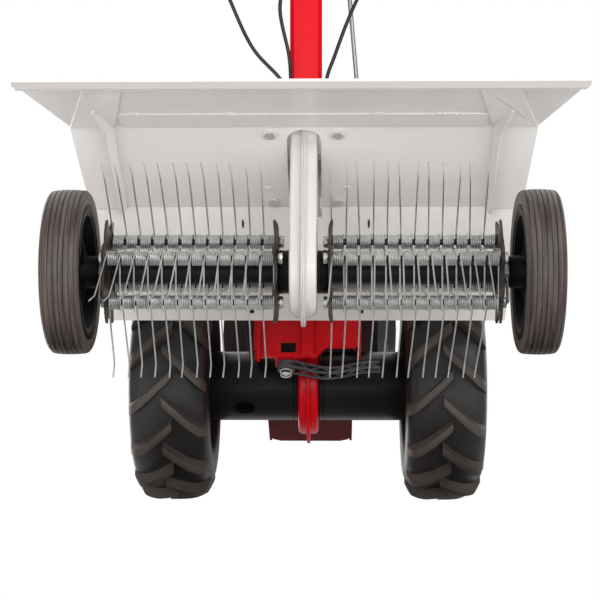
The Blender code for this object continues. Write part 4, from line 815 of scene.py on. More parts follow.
# %% Retaining clips
clip_wire = 0.00145
leg = np.array([(0, 0.0148), (0, 0.006), (0, -0.012), (0, -0.0315), (0.0015, -0.0365), (0.0058, -0.0388),
                (0.0094, -0.0362), (0.0098, -0.028), (0.0090, -0.015), (0.0122, -0.0075), (0.0128, 0.0),
                (0.0122, 0.006), (0.0092, 0.0112), (0.0110, 0.0140)])
for side in ("left", "right"):
    place = (middle_of(f"retaining_clip_{side}")[0], rotor_y, rotor_z)
    path = smooth_path(np.column_stack((0 * leg[:, 0], leg)) + place, 5)
    piece(f"clip_{side}", [swept(path, clip_wire, 8)], zinc, "rotor", [f"retaining_clip_{side}"], smooth=60)
print("clips:", made["clip_left"], "faces each")

# %% [markdown]
# ## Depth wheels
# The depth wheels set how deep the tines reach. Each has a rubber tread with narrow grooves running round
# it and a black plastic rim with a hub and six ribs. The tread's profile is a rounded shoulder with the
# grooves taken out by a smooth bump function, sampled finely and turned.

# %% Tread of the depth wheels


def groove(x, middle, width, depth):
    """A smooth round-bottomed groove: depth cos^2 inside half the width, and nothing outside."""
    u = np.clip((x - middle) / (width / 2), -1, 1)
    return depth * np.cos(u * math.pi / 2) ** 2


def depth_tread(x0, x1):
    """Profile: a crown of radius 0.1 - 0.0018 (x / half)^2, round shoulders, grooves and a fine ripple."""
    half = (x1 - x0) / 2
    shoulder_width, shoulder_drop = 0.0060, 0.0062
    grooves, groove_width, groove_depth = 7, 0.0016, 0.0013
    ripple_height, ripple_length = 0.00012, 0.0011
    x = np.linspace(-half, half, 181)
    edge = np.clip((half - np.abs(x)) / shoulder_width, 0, 1)
    r = 0.1 - 0.0018 * (x / half) ** 2 - shoulder_drop * (1 - np.sqrt(1 - (1 - edge) ** 2))
    for middle in np.linspace(-0.78, 0.78, grooves) * half:
        r = r - groove(x, middle, groove_width, groove_depth)
    r = r - ripple_height * (1 + np.cos(x / ripple_length * math.tau)) * (edge >= 1)
    outer = np.column_stack((x + (x0 + x1) / 2, r))
    wall = [(x1 - 0.0012, 0.0850), (x1 - 0.0030, 0.0785), (x1 - 0.0032, 0.0734), (x0 + 0.0032, 0.0734),
            (x0 + 0.0030, 0.0785), (x0 + 0.0012, 0.0850)]
    return np.concatenate((outer, wall))


for side in ("left", "right"):
    low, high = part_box(f"depth_tyre_{side}")
    piece(f"depth_tread_{side}", [turned(depth_tread(low[0], high[0]), 144, rotor_centre)],
          tread_rubber, f"depth_wheel_{side}", [f"depth_tyre_{side}"], smooth=50)
print("depth tread:", made["depth_tread_left"], "faces each")

# %% [markdown]
# The rim is moulded plastic. Its ring, web and hub are one turned profile, and the ribs are thin walls
# whose depth falls from the hub to the ring. Each rib is a small grid, turned round the axle six times.

# %% Rims of the depth wheels
bore = 0.0106
ribs_per_rim = 6


def rib_grid(length_low, length_high, deep, shallow, thick=0.0022):
    """A wall from the hub to the ring whose half depth goes from deep to shallow along the radius."""
    r = np.linspace(length_low, length_high, 6)
    half = deep + (shallow - deep) * (r - length_low) / (length_high - length_low)
    rows = [np.stack((across * half, along * np.full_like(r, thick / 2), r), axis=-1)
            for across, along in ((-1, -1), (-1, 1), (1, 1), (1, -1))]
    return grid(np.stack(rows, axis=1), caps=True)


def around_axle(part, count, centre, phase=0.0):
    """The part once for each of the count angles round an axle along X."""
    turn = (np.arange(count) * math.tau / count + phase)[:, None]
    x, y, z = part[0].T
    placed = np.stack((np.broadcast_to(x, (count, len(x))), y * np.cos(turn) + z * np.sin(turn),
                       z * np.cos(turn) - y * np.sin(turn)), axis=-1)
    return copies(part, placed + np.asarray(centre))


for side, sign in both_sides:
    tyre_low, tyre_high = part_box(f"depth_tyre_{side}")
    rim_low, rim_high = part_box(f"depth_rim_{side}")
    x = (tyre_low[0] + tyre_high[0]) / 2
    half, reach = sorted((abs(rim_low[0] - x), abs(rim_high[0] - x)))
    profile = np.array([
        (-half, 0.0730), (-half - 0.0008, 0.0715), (-half, 0.0690), (-0.0060, 0.0655), (-0.0022, 0.0625),
        (-0.0022, 0.0235), (-0.0050, 0.0208), (-reach + 0.0015, 0.0192), (-reach, 0.0180), (-reach, bore),
        (half, bore), (half, 0.0195), (half - 0.0015, 0.0208), (0.0050, 0.0212), (0.0022, 0.0240),
        (0.0022, 0.0625), (0.0060, 0.0655), (half, 0.0690), (half + 0.0008, 0.0715), (half, 0.0730),
    ]) * (sign, 1)
    centre = np.array((x, rotor_y, rotor_z))
    rib = rib_grid(0.0195, 0.0680, deep=half - 0.002, shallow=0.0085)
    ribs = around_axle(rib, ribs_per_rim, centre, math.pi / ribs_per_rim)
    wall = (tyre_high[0] - tyre_low[0]) / 2
    # the lips over the tyre's inner wall, like the whole rim, wear the darker plastic, a painted shade
    lip = [(-0.0030, 0.0728), (-0.0022, 0.0722), (-0.0012, 0.0728), (-0.0008, 0.0745),
           (-0.0008, 0.0812), (-0.0012, 0.0822), (-0.0022, 0.0818), (-0.0030, 0.0775)]
    lips = [turned((np.array(lip) + (wall, 0)) * (way, 1), 96, centre) for way in (-1, 1)]
    piece(f"depth_wheel_rim_{side}", [turned(profile, 96, centre), ribs, *lips], plastic_painted_shade,
          f"depth_wheel_{side}", [f"depth_rim_{side}"])
print("depth rims:", made["depth_wheel_rim_left"], "faces each")

# %% [markdown]
# ## Chain case and drive case
# Both cases are pressed from two halves that meet in a narrow rim. Their outline is a belt round two
# circles. Growing or shrinking that outline while moving away from the split makes the rim, the wall, a
# rounded shoulder and the flat face, all with one formula, and a second, smaller pass makes the inside.

# %% A case half as a stack of belts


def belt(first, r1, second, r2, steps=40):
    """Outline round two circles in the YZ plane: two arcs joined by the circles' outer tangents."""
    away = np.subtract(second, first)
    lean = math.atan2(away[1], away[0])
    spread = math.acos((r1 - r2) / math.hypot(*away))
    t = np.linspace(0, 1, steps)
    a = lean + spread + (math.tau - 2 * spread) * t
    b = lean - spread + 2 * spread * t
    line = np.linspace(0, 1, 12)[1:-1, None]
    one = np.column_stack((first[0] + r1 * np.cos(a), first[1] + r1 * np.sin(a)))
    two = np.column_stack((second[0] + r2 * np.cos(b), second[1] + r2 * np.sin(b)))
    return np.concatenate((one, one[-1] + (two[0] - one[-1]) * line,
                           two, two[-1] + (one[0] - two[-1]) * line))


def case_half(ends, levels, sign):
    """Rings (x, growth) of the belt, closed at the middle of the face by shrinking it to a thin line."""
    (first, r1), (second, r2) = ends
    return stacked([(sign * x, belt(first, r1 + grow, second, r2 + grow)) for x, grow in levels], caps=True)


def narrowed_foot(part, centre, full, foot, narrow, tab):
    """The wall narrows to a share of its width, and the rim widens, where the case dips below and ahead.

    dip = 0.5 (y - cy) - 0.866 (z - cz), s = (dip - full) / (foot - full) held between 0 and 1:
    wall x (1 - (1 - narrow) s), rim x (1 + (tab - 1) s)."""
    verts, quads, triangles = part
    dip = 0.5 * (verts[:, 1] - centre[0]) - 0.866 * (verts[:, 2] - centre[1])
    s = np.clip((dip - full) / (foot - full), 0, 1)
    wall = 1 - (1 - narrow) * s
    rim = 1 + (tab - 1) * s
    rim_limit = 0.0030
    verts = verts.copy()
    verts[:, 0] *= np.where(np.abs(verts[:, 0]) > rim_limit, wall, rim)
    return verts, quads, triangles


def shoulder_levels(half, radius, steps):
    """(half - radius + radius sin a, -radius (1 - cos a)) for a from 0 to a quarter turn."""
    arc = np.linspace(0, math.pi / 2, steps)
    return [(half - radius + radius * math.sin(a), -radius * (1 - math.cos(a))) for a in arc]


def shell_levels(half, rim, rim_half, shoulder, wall, floor_growth):
    """Levels from the middle of the inside, round the rim and the shoulder to the middle of the face."""
    outer = shoulder_levels(half, shoulder, 6)
    inner = [(x - wall, grow - wall) for x, grow in reversed(outer)]
    levels = [(half - wall, floor_growth)] + inner + [(0.00015, -wall), (0.00015, rim - 0.0004)]
    levels += [(0.0006, rim), (rim_half - 0.0004, rim), (rim_half, rim - 0.0004),
               (rim_half * 1.5, rim * 0.4), (rim_half * 2.2, rim * 0.1), (rim_half * 3.0, 0.0)]
    return levels + outer + [(half, floor_growth)]


lower_end = (rotor_y, rotor_z)
upper_end = tuple(middle_of("upper_sprocket")[1:])
case_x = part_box("chain_case_right")[1][0]
levels = shell_levels(case_x, rim=0.0108, rim_half=0.0018, shoulder=0.0036, wall=0.002,
                      floor_growth=-0.0450)
for side, sign in both_sides:
    half = case_half(((lower_end, 0.056), (upper_end, 0.046)), levels, sign)
    half = narrowed_foot(half, lower_end, full=0.0475, foot=0.0560, narrow=0.56, tab=1.35)
    # the chain case wears the darker copy of the white, a painted shade
    piece(f"chain_cover_{side}", [half], case_white_painted_shade, "machine", [f"chain_case_{side}"], smooth=40)
print("chain case half:", made["chain_cover_left"], "faces")

# %% [markdown]
# The red case over the drive axle is made in the same way. It is closed and heavy on the real machine, so
# here the halves are solid, and their levels are a list of their own.

# %% The red drive case
axle_y, axle_z = middle_of("axle_shaft")[1:]
drive_lower, drive_upper = (axle_y, axle_z), (rotor_y + 0.425, 0.375)
drive_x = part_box("drive_case_right")[1][0]
levels = [(0.00015, -0.0540), (0.00015, 0.0136), (0.0006, 0.0140), (0.0018, 0.0140), (0.0022, 0.0136),
          (0.0022, 0.0010), (0.0030, 0.0), *shoulder_levels(drive_x, 0.006, 7), (drive_x, -0.0540)]
for side, sign in both_sides:
    half = case_half(((drive_lower, 0.070), (drive_upper, 0.055)), levels, sign)
    # the drive case halves wear the darker red, a painted shade
    piece(f"drive_cover_{side}", [half], red_painted_shade, "machine", [f"drive_case_{side}"], smooth=40)
print("drive case half:", made["drive_cover_left"], "faces")

# %% [markdown]
# ## Plugs, strip and welds of the hood
# The flap has two small holes near its edge that nothing uses, and a push-in plug closes each: a low dome
# with a thin brim, which stands on the flap's sloping sheet. Two longer black domes of the same kind sit
# higher on the flap. Two white studs sit under the hood's flat roof.

# %% Plugs under the hood
flap_top, flap_end = np.array((0.085, 0.250)), np.array((0.235, 0.1645))
flap_way = (flap_end - flap_top) / np.linalg.norm(flap_end - flap_top)


def plug_on(x, y, z, out, radius, long=1.0, steps=18):
    """A dome of height 0.28 r over a brim of radius r, stretched by long across X, standing along out."""
    height = 0.28 * radius
    profile = [(-0.0004, 0.0), (-0.0004, radius), (height * 0.35, radius), (height * 0.6, 0.82 * radius),
               (height, 0.45 * radius), (height * 1.04, 0.0)]
    verts, quads, triangles = turned(profile, steps, closed=False)
    third = np.cross(out, side_to_side)
    place = verts[:, :1] * out + verts[:, 1:2] * side_to_side + verts[:, 2:] * third * long
    return place + spot(x, y, z), quads, triangles


flap_out = np.array((0, flap_way[1], -flap_way[0]))
straight_down = np.array((0, 0, -1.0))
plugs = [plug_on(sign * 0.074, 0.2225, 0.1712, flap_out, 0.0030) for sign in (-1, 1)]
plugs += [plug_on(sign * 0.0826, 0.1060, 0.2375, flap_out, 0.0015, 4.4) for sign in (-1, 1)]
piece("hood_plugs", plugs, plastic, "machine")
studs = [plug_on(x, 0.0408, 0.2499, straight_down, 0.0050) for x in (-0.0476, 0.0535)]
piece("hood_studs", studs, white, "machine")
print("plugs and studs:", made["hood_plugs"] + made["hood_studs"], "faces")

# %% [markdown]
# A flat strip stiffens the fold behind the lip. It is a thin bar with broken edges that lies on the sloping
# sheet, and four short welds hold it. A weld is laid drop by drop, so a bead is a swept tube whose radius
# is 1.7 mm + 0.5 mm of two sine waves that don't keep step, and no two drops look alike.

# %% Strip and weld beads
slope_start, slope_end = np.array((-0.093, 0.250)), np.array((-0.268, 0.181))
slope = (slope_end - slope_start) / np.linalg.norm(slope_end - slope_start)
inward = np.array((-slope[1], slope[0]))
inward = inward if inward[1] < 0 else -inward


def on_slope(along, deep):
    """(y, z) at a distance along the sloping sheet from its fold, and at a depth inside it."""
    y, z = slope_start + along * slope + deep * inward
    return rotor_y + y, z


def weld_bead(start, end, seed, count=60):
    """A tube from start to end of radius 0.0017 + 0.0005 (sin(95 t + seed) + 0.6 sin(41 t + 2 seed))."""
    t = np.linspace(0, 1, count)
    path = np.asarray(start) + t[:, None] * (np.asarray(end) - np.asarray(start))
    drops = np.sin(95 * t + seed) + 0.6 * np.sin(41 * t + 2 * seed)
    path = path + 0.0004 * np.column_stack((0 * t, np.sin(23 * t + seed), np.cos(31 * t + seed)))
    radius = (0.0017 + 0.0005 * drops) * np.sqrt(np.clip(1 - (2 * t - 1) ** 8, 0.05, 1))
    return swept(path, radius, 8, reference=upright)


outline = [(0.0015, 0.0001), (0.0600, 0.0001), (0.0606, 0.0006), (0.0606, 0.0014), (0.0600, 0.0019),
           (0.0021, 0.0019), (0.0015, 0.0014)]
section = np.array([on_slope(a, d) for a, d in outline])
ends = [(-0.2180, 0.985), (-0.2174, 1.0), (0.2174, 1.0), (0.2180, 0.985)]
middle_line = section.mean(axis=0)
strip = stacked([(x, middle_line + (section - middle_line) * s) for x, s in ends], caps=True)
weld_y, weld_z = on_slope(0.0612, 0.0010)
weld_spans = ((-0.2080, -0.1850), (-0.0900, -0.0760), (0.0820, 0.0960), (0.1560, 0.1880))
welds = [weld_bead((low, weld_y, weld_z), (high, weld_y, weld_z), number * 1.3)
         for number, (low, high) in enumerate(weld_spans)]
piece("stiff_strip", [strip, *welds], white, "machine")
print("strip:", made["stiff_strip"], "faces")

# %% [markdown]
# ## Hitch lever and its pin
# The lever under the hitch is moulded with ribs: rails along its four long edges, and slanting ribs between
# them that leave open cells. Every rail and rib is a tube along a curve, and they all end inside each
# other. The bow of the lever is 19 mm sin^2 of its length, and its half width falls from 12.5 to 8 mm.
# The sheet that closes the cells from above is a piece of its own, because it lies in the ribs' shade and
# needs a darker plastic, a painted shade; the ribs and rails get a lighter plastic, a painted light.

# %% The ribbed lever
rail = 0.0019
rib_radius = 0.0014
lever_low, lever_high = (np.array(c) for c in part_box("hitch_lever"))
pin_x, pin_y = -0.030, rotor_y + 0.319


def lever_edge(share, across, z):
    """A place on the lever: share of its length, across from -1 (rear) to 1 (front), and height."""
    share = np.asarray(share, dtype=float)
    bow = 0.019 * np.sin(math.pi * np.minimum(1, share / 0.92)) ** 2
    half = 0.0125 - 0.0045 * share - rail
    x = pin_x + (lever_high[0] - rail - pin_x) * share
    return np.stack((x, pin_y + bow + across * half, np.full_like(x, z)), axis=-1)


low_z, high_z = lever_low[2] + rail, lever_high[2] - rail
along = np.linspace(0, 1, 24)
parts = [swept(lever_edge(along, across, z), rail, 8, reference=upright)
         for across in (-1, 1) for z in (low_z, high_z)]
corners = np.linspace(0.13, 1.0, 8)
for i, (a, b) in enumerate(zip(corners[:-1], corners[1:])):
    one, two = (low_z, high_z) if i % 2 else (high_z, low_z)
    rear = np.stack((lever_edge(a, -1, one), lever_edge(b, -1, two)))
    side_a, side_b = (-1, 1) if i % 2 else (1, -1)
    under = np.stack((lever_edge(a, side_a, low_z), lever_edge(b, side_b, low_z)))
    parts += [swept(np.stack((p[0], p.mean(axis=0), p[1])), rib_radius, 8, reference=(0.0, 1.0, 0.3))
              for p in (rear, under)]
web_low, web_high, web_half = high_z - 0.0012, high_z + 0.0009, 0.92
web_ring = ((-web_half, web_low), (web_half, web_low), (web_half, web_high), (-web_half, web_high))
web = np.stack([np.stack([lever_edge(s, across, z) for across, z in web_ring]) for s in along])
tip = np.stack([lever_edge(1.0, across, z) for across, z in ((-1, low_z), (0, low_z), (1, low_z))])
hub = turned([(0, 0.0048), (0, 0.0118), (0.0008, 0.0125), (0.0112, 0.0125), (0.0119, 0.0118),
              (0.0119, 0.0048)], 40)
parts += [swept(tip, rail, 8, reference=upright),
          swing(hub, (pin_x, pin_y, lever_low[2] + 0.00005), x_to_z)]
piece("ribbed_lever", parts, plastic_painted_light, "hitch_lever", ["hitch_lever"])
piece("lever_web", [grid(web, caps=True)], plastic_painted_shade, "hitch_lever")
print("ribbed lever:", made["ribbed_lever"], "faces")

# %% [markdown]
# The pin goes down through the shelf and the lever. Below the lever it carries a zinc washer, a nut of its
# own in black, and a bright ring of round wire that keeps the nut from coming off. All of it is drawn
# along X, with the lever's under side at 0 and the free end at the negative side, and then stood upright.

# %% Pin, washer, nut and ring
pin_foot = (pin_x, pin_y, lever_low[2])
pin_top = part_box("hitch_pin")[1][2]
lever_height = lever_high[2] - lever_low[2]
washer = turned([(-0.0024, 0.0050), (-0.0024, 0.0082), (-0.0020, 0.0087), (-0.0008, 0.0087),
                 (-0.0004, 0.0082), (-0.0004, 0.0050)], 40)
thread_x = np.linspace(-0.0060, -0.0004, 45)
thread_pitch = 0.0012
thread = 0.0040 + 0.0003 * np.cos(thread_x / thread_pitch * math.tau)
shank = list(zip(thread_x, thread)) + [(0.0, 0.0045), (lever_height + 0.0052, 0.0045)]
ring_x, ring_radius, ring_wire = -0.0068, 0.0070, 0.0011
circle = np.linspace(0, math.tau, 12, endpoint=False)
ring = turned(list(zip(ring_x + ring_wire * np.sin(circle), ring_radius + ring_wire * np.cos(circle))), 40)
parts = [turned(shank, 28, closed=False), washer, ring,
         hexagon(lever_height + 0.0046, pin_top - lever_low[2], 0.0084, turn=0.3)]
piece("threaded_pin", [swing(p, pin_foot, x_to_z) for p in parts], zinc, "machine", ["hitch_pin"])
piece("pin_nut", [swing(hexagon(-0.0057, -0.0024, 0.0075), pin_foot, x_to_z)], black, "machine")
print("pin:", made["threaded_pin"], "faces")

# %% [markdown]
# ## Axle tubes
# The black axle tubes are plain cylinders with a rolled edge. The left one has an oval hole facing the
# operator, through which a clamp bolt is reached. A hole in a turned surface is easiest as a Boolean: an
# oval plug is taken away from the tube, and the result replaces the tube's mesh.

# %% Axle tubes and the oval hole
hole_x, hole_tilt = -0.092, math.radians(67)
hole_half_width, hole_half_height = 0.0155, 0.0115


def tube_profile(x0, x1):
    """Wall of the tube with a rounded outer end and a flat end at the case."""
    return [(x0, 0.0168), (x0, 0.0488), (x0 + 0.0012, 0.0500), (x0 + 0.0058, 0.0500), (x0 + 0.0064, 0.0492),
            (x0 + 0.0070, 0.0492), (x0 + 0.0076, 0.0500), (x1 - 0.0020, 0.0500), (x1 - 0.0006, 0.0494),
            (x1, 0.0480), (x1 - 0.0004, 0.0466), (x1 - 0.004, 0.0460), (x1 - 0.006, 0.0168)]


def take_away(obj, plug):
    """Exact Boolean of two pieces, applied at once; the plug is then thrown away."""
    step = obj.modifiers.new("hole", "BOOLEAN")
    step.operation, step.solver, step.object = "DIFFERENCE", "EXACT", plug
    graph = bpy.context.evaluated_depsgraph_get()
    mesh = bpy.data.meshes.new_from_object(obj.evaluated_get(graph))
    obj.modifiers.clear()
    obj.data = mesh
    bpy.data.objects.remove(plug)


for side, sign in both_sides:
    low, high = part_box(f"axle_tube_{side}")
    x0, x1 = sorted((abs(low[0]), abs(high[0])))
    profile = np.array(tube_profile(x0, x1)) * (sign, 1)
    tube = piece(f"axle_sleeve_{side}", [turned(profile, 96, (0, axle_y, axle_z))], black, "machine",
                 [f"axle_tube_{side}"])
    if side == "left":
        t = np.linspace(0, math.tau, 32, endpoint=False)[:, None]
        out = np.array((0, -math.sin(math.pi / 2 - hole_tilt), -math.cos(math.pi / 2 - hole_tilt)))
        around = np.array((0, out[2], -out[1]))
        oval = (np.cos(t) * hole_half_width * side_to_side + np.sin(t) * hole_half_height * around
                + np.array((hole_x, axle_y, axle_z)))
        oval_plug = grid(np.stack((oval + 0.030 * out, oval + 0.060 * out)), caps=True)
        plug = bpy.data.objects.new("plug", solid("plug", [oval_plug]))
        scene.collection.objects.link(plug)
        take_away(tube, plug)
        tube.data.shade_smooth()
        tube.data.set_sharp_from_angle(angle=math.radians(38))
print("axle sleeves:", made["axle_sleeve_right"], "faces before the hole")

# %% [markdown]
# ## Drive tyres
# The drive tyres have a farm tread. The carcass below the bars is a smooth turned profile: half of it is
# listed from the crown's middle to the rim, and the other half is its mirror image.

# %% Carcass of the drive tyres
crown = [(0.0000, 0.1516), (0.0140, 0.1512), (0.0280, 0.1496), (0.0400, 0.1462), (0.0490, 0.1405),
         (0.0545, 0.1320), (0.0563, 0.1220), (0.0560, 0.1120), (0.0540, 0.1020), (0.0500, 0.0945),
         (0.0450, 0.0890), (0.0412, 0.0852), (0.0403, 0.0800), (0.0400, 0.0768)]


def crown_radius(x):
    """The carcass's radius at a distance from its middle, by straight lines between the crown's points."""
    table = np.array(crown[:7])
    return np.interp(np.abs(x), table[:, 0], table[:, 1])


def carcass(x_middle):
    """Profile from bead to bead, smoothed by a Catmull-Rom curve, and closed along the rim."""
    side = np.array([(x, r, 0) for x, r in crown])
    full = np.concatenate((side[::-1] * (-1, 1, 1), side[1:]))
    curve = smooth_path(full, 5)[:, :2]
    return turned(curve + (x_middle, 0), 120, (0, axle_y, axle_z))


# %% [markdown]
# Heavy bars start just past the tyre's middle and sweep back to the shoulder, left and right in turn. A bar
# is a block that follows the crown: every ring of its grid is a section across the bar, from the foot in
# the carcass up one flank, over the top and down the other. It is laid round the tyre fourteen times on
# each side, and the right side is half a step ahead of the left.

# %% Tread bars
bars = 14
bar_step = math.tau / bars
first_bar = math.radians(30)
sweep = math.radians(19.5)
tread_top, shoulder_top = 0.165, 0.159


def bar_block(sign, steps=14):
    """One bar as rings across it. x runs from -6.5 mm over the middle to the shoulder at 53.5 mm.

    With share s from 0 to 1 along x, the angle falls back by sweep s^0.94. The top is at 165 mm, bends down
    to 159 mm at x = 44 mm and falls past it. Each ring is foot, flank, rounded edge, top and back again."""
    x = np.linspace(-0.0065, 0.0535, steps)
    share = (x + 0.0065) / 0.060
    angle = -sweep * np.clip(share, 0, 1) ** 0.94
    edge_x = 0.044
    top_radius = np.where(x < edge_x, tread_top - 0.006 * np.clip((x - 0.020) / 0.024, 0, 1) ** 2,
                          shoulder_top - 0.0165 * np.clip((x - edge_x) / 0.0095, 0, 1) ** 1.2)
    foot_radius = crown_radius(np.clip(x, -0.05, 0.0545)) - 0.004
    half = 0.0062 + 0.0014 * share
    flare = 0.0022
    soft = 0.0012
    flank = [(half + flare, foot_radius), (half, top_radius - soft),
             (half - soft * 0.4, top_radius - soft * 0.3), (half - soft, top_radius)]
    ring = []
    for offset, radius in [(-offset, radius) for offset, radius in flank] + flank[::-1]:
        turn = angle + offset / 0.160
        ring.append(np.stack((sign * x, -radius * np.cos(turn), radius * np.sin(turn)), axis=-1))
    return grid(np.stack(ring, axis=1), caps=True)


for side, sign in both_sides:
    x = middle_of(f"drive_tyre_{side}")[0]
    both_families = [around_axle(bar_block(way), bars, (x, axle_y, axle_z), phase)
                     for way, phase in ((-1, first_bar), (1, first_bar + bar_step / 2))]
    piece(f"farm_tyre_{side}", [carcass(x)], tyre_rubber, "drive_axle", [f"drive_tyre_{side}"], smooth=42)
    piece(f"tread_bars_{side}", both_families, bar_rubber, "drive_axle", smooth=42)
print("drive tyre:", made["farm_tyre_left"], "faces each")

# %% [markdown]
# The rims are pressed steel in dark red: two rounded flanges hold the tyre, the well lies deeper, and a
# web with five bolts joins it to the hub.

# %% Rims of the drive wheels
bolts, bolt_circle = 5, 0.0460


def mirrored(points):
    """The points (x, radius) at the other side of the middle, in the opposite order."""
    return [(-x, radius) for x, radius in reversed(points)]


def rim_profile():
    """Points (x, radius): the seats under the tyre, then well, web and hub on the sheet's other side."""
    seat = [(-0.0445, 0.0838), (-0.0452, 0.0825), (-0.0448, 0.0806), (-0.0430, 0.0790), (-0.0402, 0.0764),
            (-0.0300, 0.0763)]
    web = [(0.0450, 0.0812), (0.0438, 0.0786), (0.0400, 0.0742), (0.0360, 0.0722), (0.0080, 0.0702),
           (0.0035, 0.0670), (0.0030, 0.0300), (0.0060, 0.0262)]
    hub = [(0.0300, 0.0245), (0.0300, 0.0128), (-0.0400, 0.0128), (-0.0400, 0.0245)]
    return np.array(seat + mirrored(seat) + web + hub + mirrored(web))


for side, sign in both_sides:
    centre = (middle_of(f"drive_rim_{side}")[0], axle_y, axle_z)
    parts = [turned(rim_profile() * (sign, 1), 96, centre)]
    verts, quads, triangles = hexagon(0.0025, 0.0080, 0.0070, (0, 0, bolt_circle), steps=24)
    parts.append(around_axle((verts * (sign, 1, 1), quads, triangles), bolts, centre, 0.3))
    piece(f"pressed_rim_{side}", parts, dark_red, "drive_axle", [f"drive_rim_{side}"])
print("pressed rims:", made["pressed_rim_left"], "faces each")

# %% [markdown]
# ## Handlebar and grips
# The handlebar is one bent tube that passes through the mast's head. Its centre line is a smooth curve
# through a few points, the same on both sides, and the tube is a circle carried along it. Under each arm
# hangs the small block in which a lever turns, on a clamp that goes round the tube.

# %% The bent tube
mast_lean = math.radians(30)
mast_up = np.array((0, -math.sin(mast_lean), math.cos(mast_lean)))
mast_ahead = np.array((0, math.cos(mast_lean), math.sin(mast_lean)))
mast_length, eye_drop = 0.512, 0.022
mast_foot = spot(-0.006, 0.425, 0.375) + 0.027 * mast_ahead - 0.012 * mast_up
mast_head = mast_foot + mast_length * mast_up
eye = mast_head - eye_drop * mast_up
bar_x, bar_z, bar_end = 0.270, 0.985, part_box("grip_left")[0][1] + 0.003
bar_radius = 0.0125
block_y, block_z = rotor_y - 0.455, bar_z - 0.0245


def arm_points(sign):
    """Centre line of one arm, from the mast's head to the grip's end."""
    y, z = eye[1], eye[2]
    return [(sign * 0.036, y, z), (sign * 0.075, y - 0.012, z + 0.010),
            (sign * 0.150, y - 0.120, z + 0.065), (sign * 0.225, y - 0.300, z + 0.120),
            (sign * bar_x, rotor_y - 0.330, bar_z - 0.012), (sign * bar_x, rotor_y - 0.450, bar_z),
            (sign * bar_x, bar_end, bar_z)]


left_arm, right_arm = arm_points(-1)[::-1], arm_points(1)
curve = np.concatenate((np.array(left_arm[:1]), smooth_path(left_arm[1:], 10),
                        smooth_path(right_arm[:-1], 10), np.array(right_arm[-1:])))
parts = [swept(curve, bar_radius, 24, reference=upright)]


def block(low, high, c=0.0008):
    """A box with edges broken by c, as four rings of eight points."""
    (x0, y0, z0), (x1, y1, z1) = low, high
    outline = np.array([(y0 + c, z0), (y1 - c, z0), (y1, z0 + c), (y1, z1 - c), (y1 - c, z1), (y0 + c, z1),
                        (y0, z1 - c), (y0, z0 + c)])
    centre = outline.mean(axis=0)
    inner = (outline - centre) * (1 - 2 * c / np.array((y1 - y0, z1 - z0))) + centre
    return stacked([(x0, inner), (x0 + c, outline), (x1 - c, outline), (x1, inner)], caps=True)


def path_length(path):
    """The sum of the distances from each point to the next."""
    return float(np.linalg.norm(np.diff(path, axis=0), axis=1).sum())


clamp = turned([(-0.012, 0.0122), (-0.012, 0.0146), (-0.011, 0.0152), (0.011, 0.0152), (0.012, 0.0146),
                (0.012, 0.0122)], 36)
for x in (-bar_x, bar_x):
    low, high = (x - 0.004, block_y - 0.010, block_z - 0.006), (x + 0.004, block_y + 0.010, bar_z - 0.008)
    parts += [block(low, high), swing(clamp, (x, block_y, bar_z), x_to_y)]
piece("bent_bar", parts, black, "machine", ["handlebar"])
print("bent bar:", made["bent_bar"], "faces, length", round(path_length(curve), 3), "m")

# %% [markdown]
# The grips are rubber sleeves with rings moulded round them. The profile's radius is 15.6 mm + 0.7 mm of a
# cosine with a ring every 5.2 mm. It rounds off at the free end, and ends in a collar on the other side.

# %% Grips
ring_pitch = 0.0052
round_end = 0.004
for side, sign in both_sides:
    low, high = (np.array(c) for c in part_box(f"grip_{side}"))
    length = high[1] - low[1]
    t = np.linspace(0, length - 0.007, 90)
    ridge = 0.0156 + 0.0007 * np.cos(t / ring_pitch * math.tau) * (t > 0.012) * (t < length - 0.02)
    ridge = np.where(t < round_end, 0.0128 + 0.0028 * np.sqrt(np.clip(t / round_end, 0, 1)), ridge)
    collar = [(length - 0.0055, 0.0200), (length - 0.0010, 0.0203), (length, 0.0196), (length, 0.0129)]
    profile = [(0, 0.0), *zip(t, ridge), *collar, (0.0032, 0.0129), (0.0032, 0)]
    sleeve = turned(profile, 40, closed=False)
    piece(f"sleeve_{side}", [swing(sleeve, (sign * bar_x, low[1], bar_z), x_to_y)], grip_rubber, "machine",
          [f"grip_{side}"], smooth=50)
print("grips:", made["sleeve_left"], "faces each")

# %% [markdown]
# ## Cables and the shift rod
# Three black cables come down from the levers: they bow freely under the arms and then lie along the
# mast. A cable can't turn a sharp corner, so its path is a smooth curve through a few chosen points. Both
# ends carry a short metal ferrule. The ends are fixed to the machine, so the cables ride on it.

# %% Cable routes


def beside_mast(x, forward, height):
    """A place from how far it is ahead of the mast's middle plane and up from its foot."""
    place = mast_foot + forward * mast_ahead + height * mast_up
    return (x, place[1], place[2])


cable_radius = 0.0029


def cable(name, points, node):
    """A round sheath through the points, with straight ends in steel ferrules."""
    points = [np.asarray(p, dtype=float) for p in points]
    inner = smooth_path(points[1:-1], 9)
    path = np.concatenate((points[0][None], inner, points[-1][None]))
    ends = [(a, a + 0.55 * (b - a)) for a, b in ((points[0], points[1]), (points[-1], points[-2]))]
    tube = piece(name, [swept(path, cable_radius, 14)], sheath, "machine", [node], smooth=60)
    caps = [swept((a, a * 0.5 + b * 0.5, b), (0.0036, 0.0036, 0.0033), 16) for a, b in ends]
    ferrules = piece(f"{name}_ferrules", caps, zinc, "machine")
    length = path_length(path)
    return length


deck_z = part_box("engine_bed")[1][2]


def from_lever(sign):
    """Where a cable leaves a lever's block, and its first points under the arm."""
    return [(sign * bar_x, block_y + 0.0103, block_z), (sign * bar_x, block_y + 0.040, block_z),
            spot(sign * 0.262, -0.330, 0.935), spot(sign * 0.225, -0.100, 0.865)]


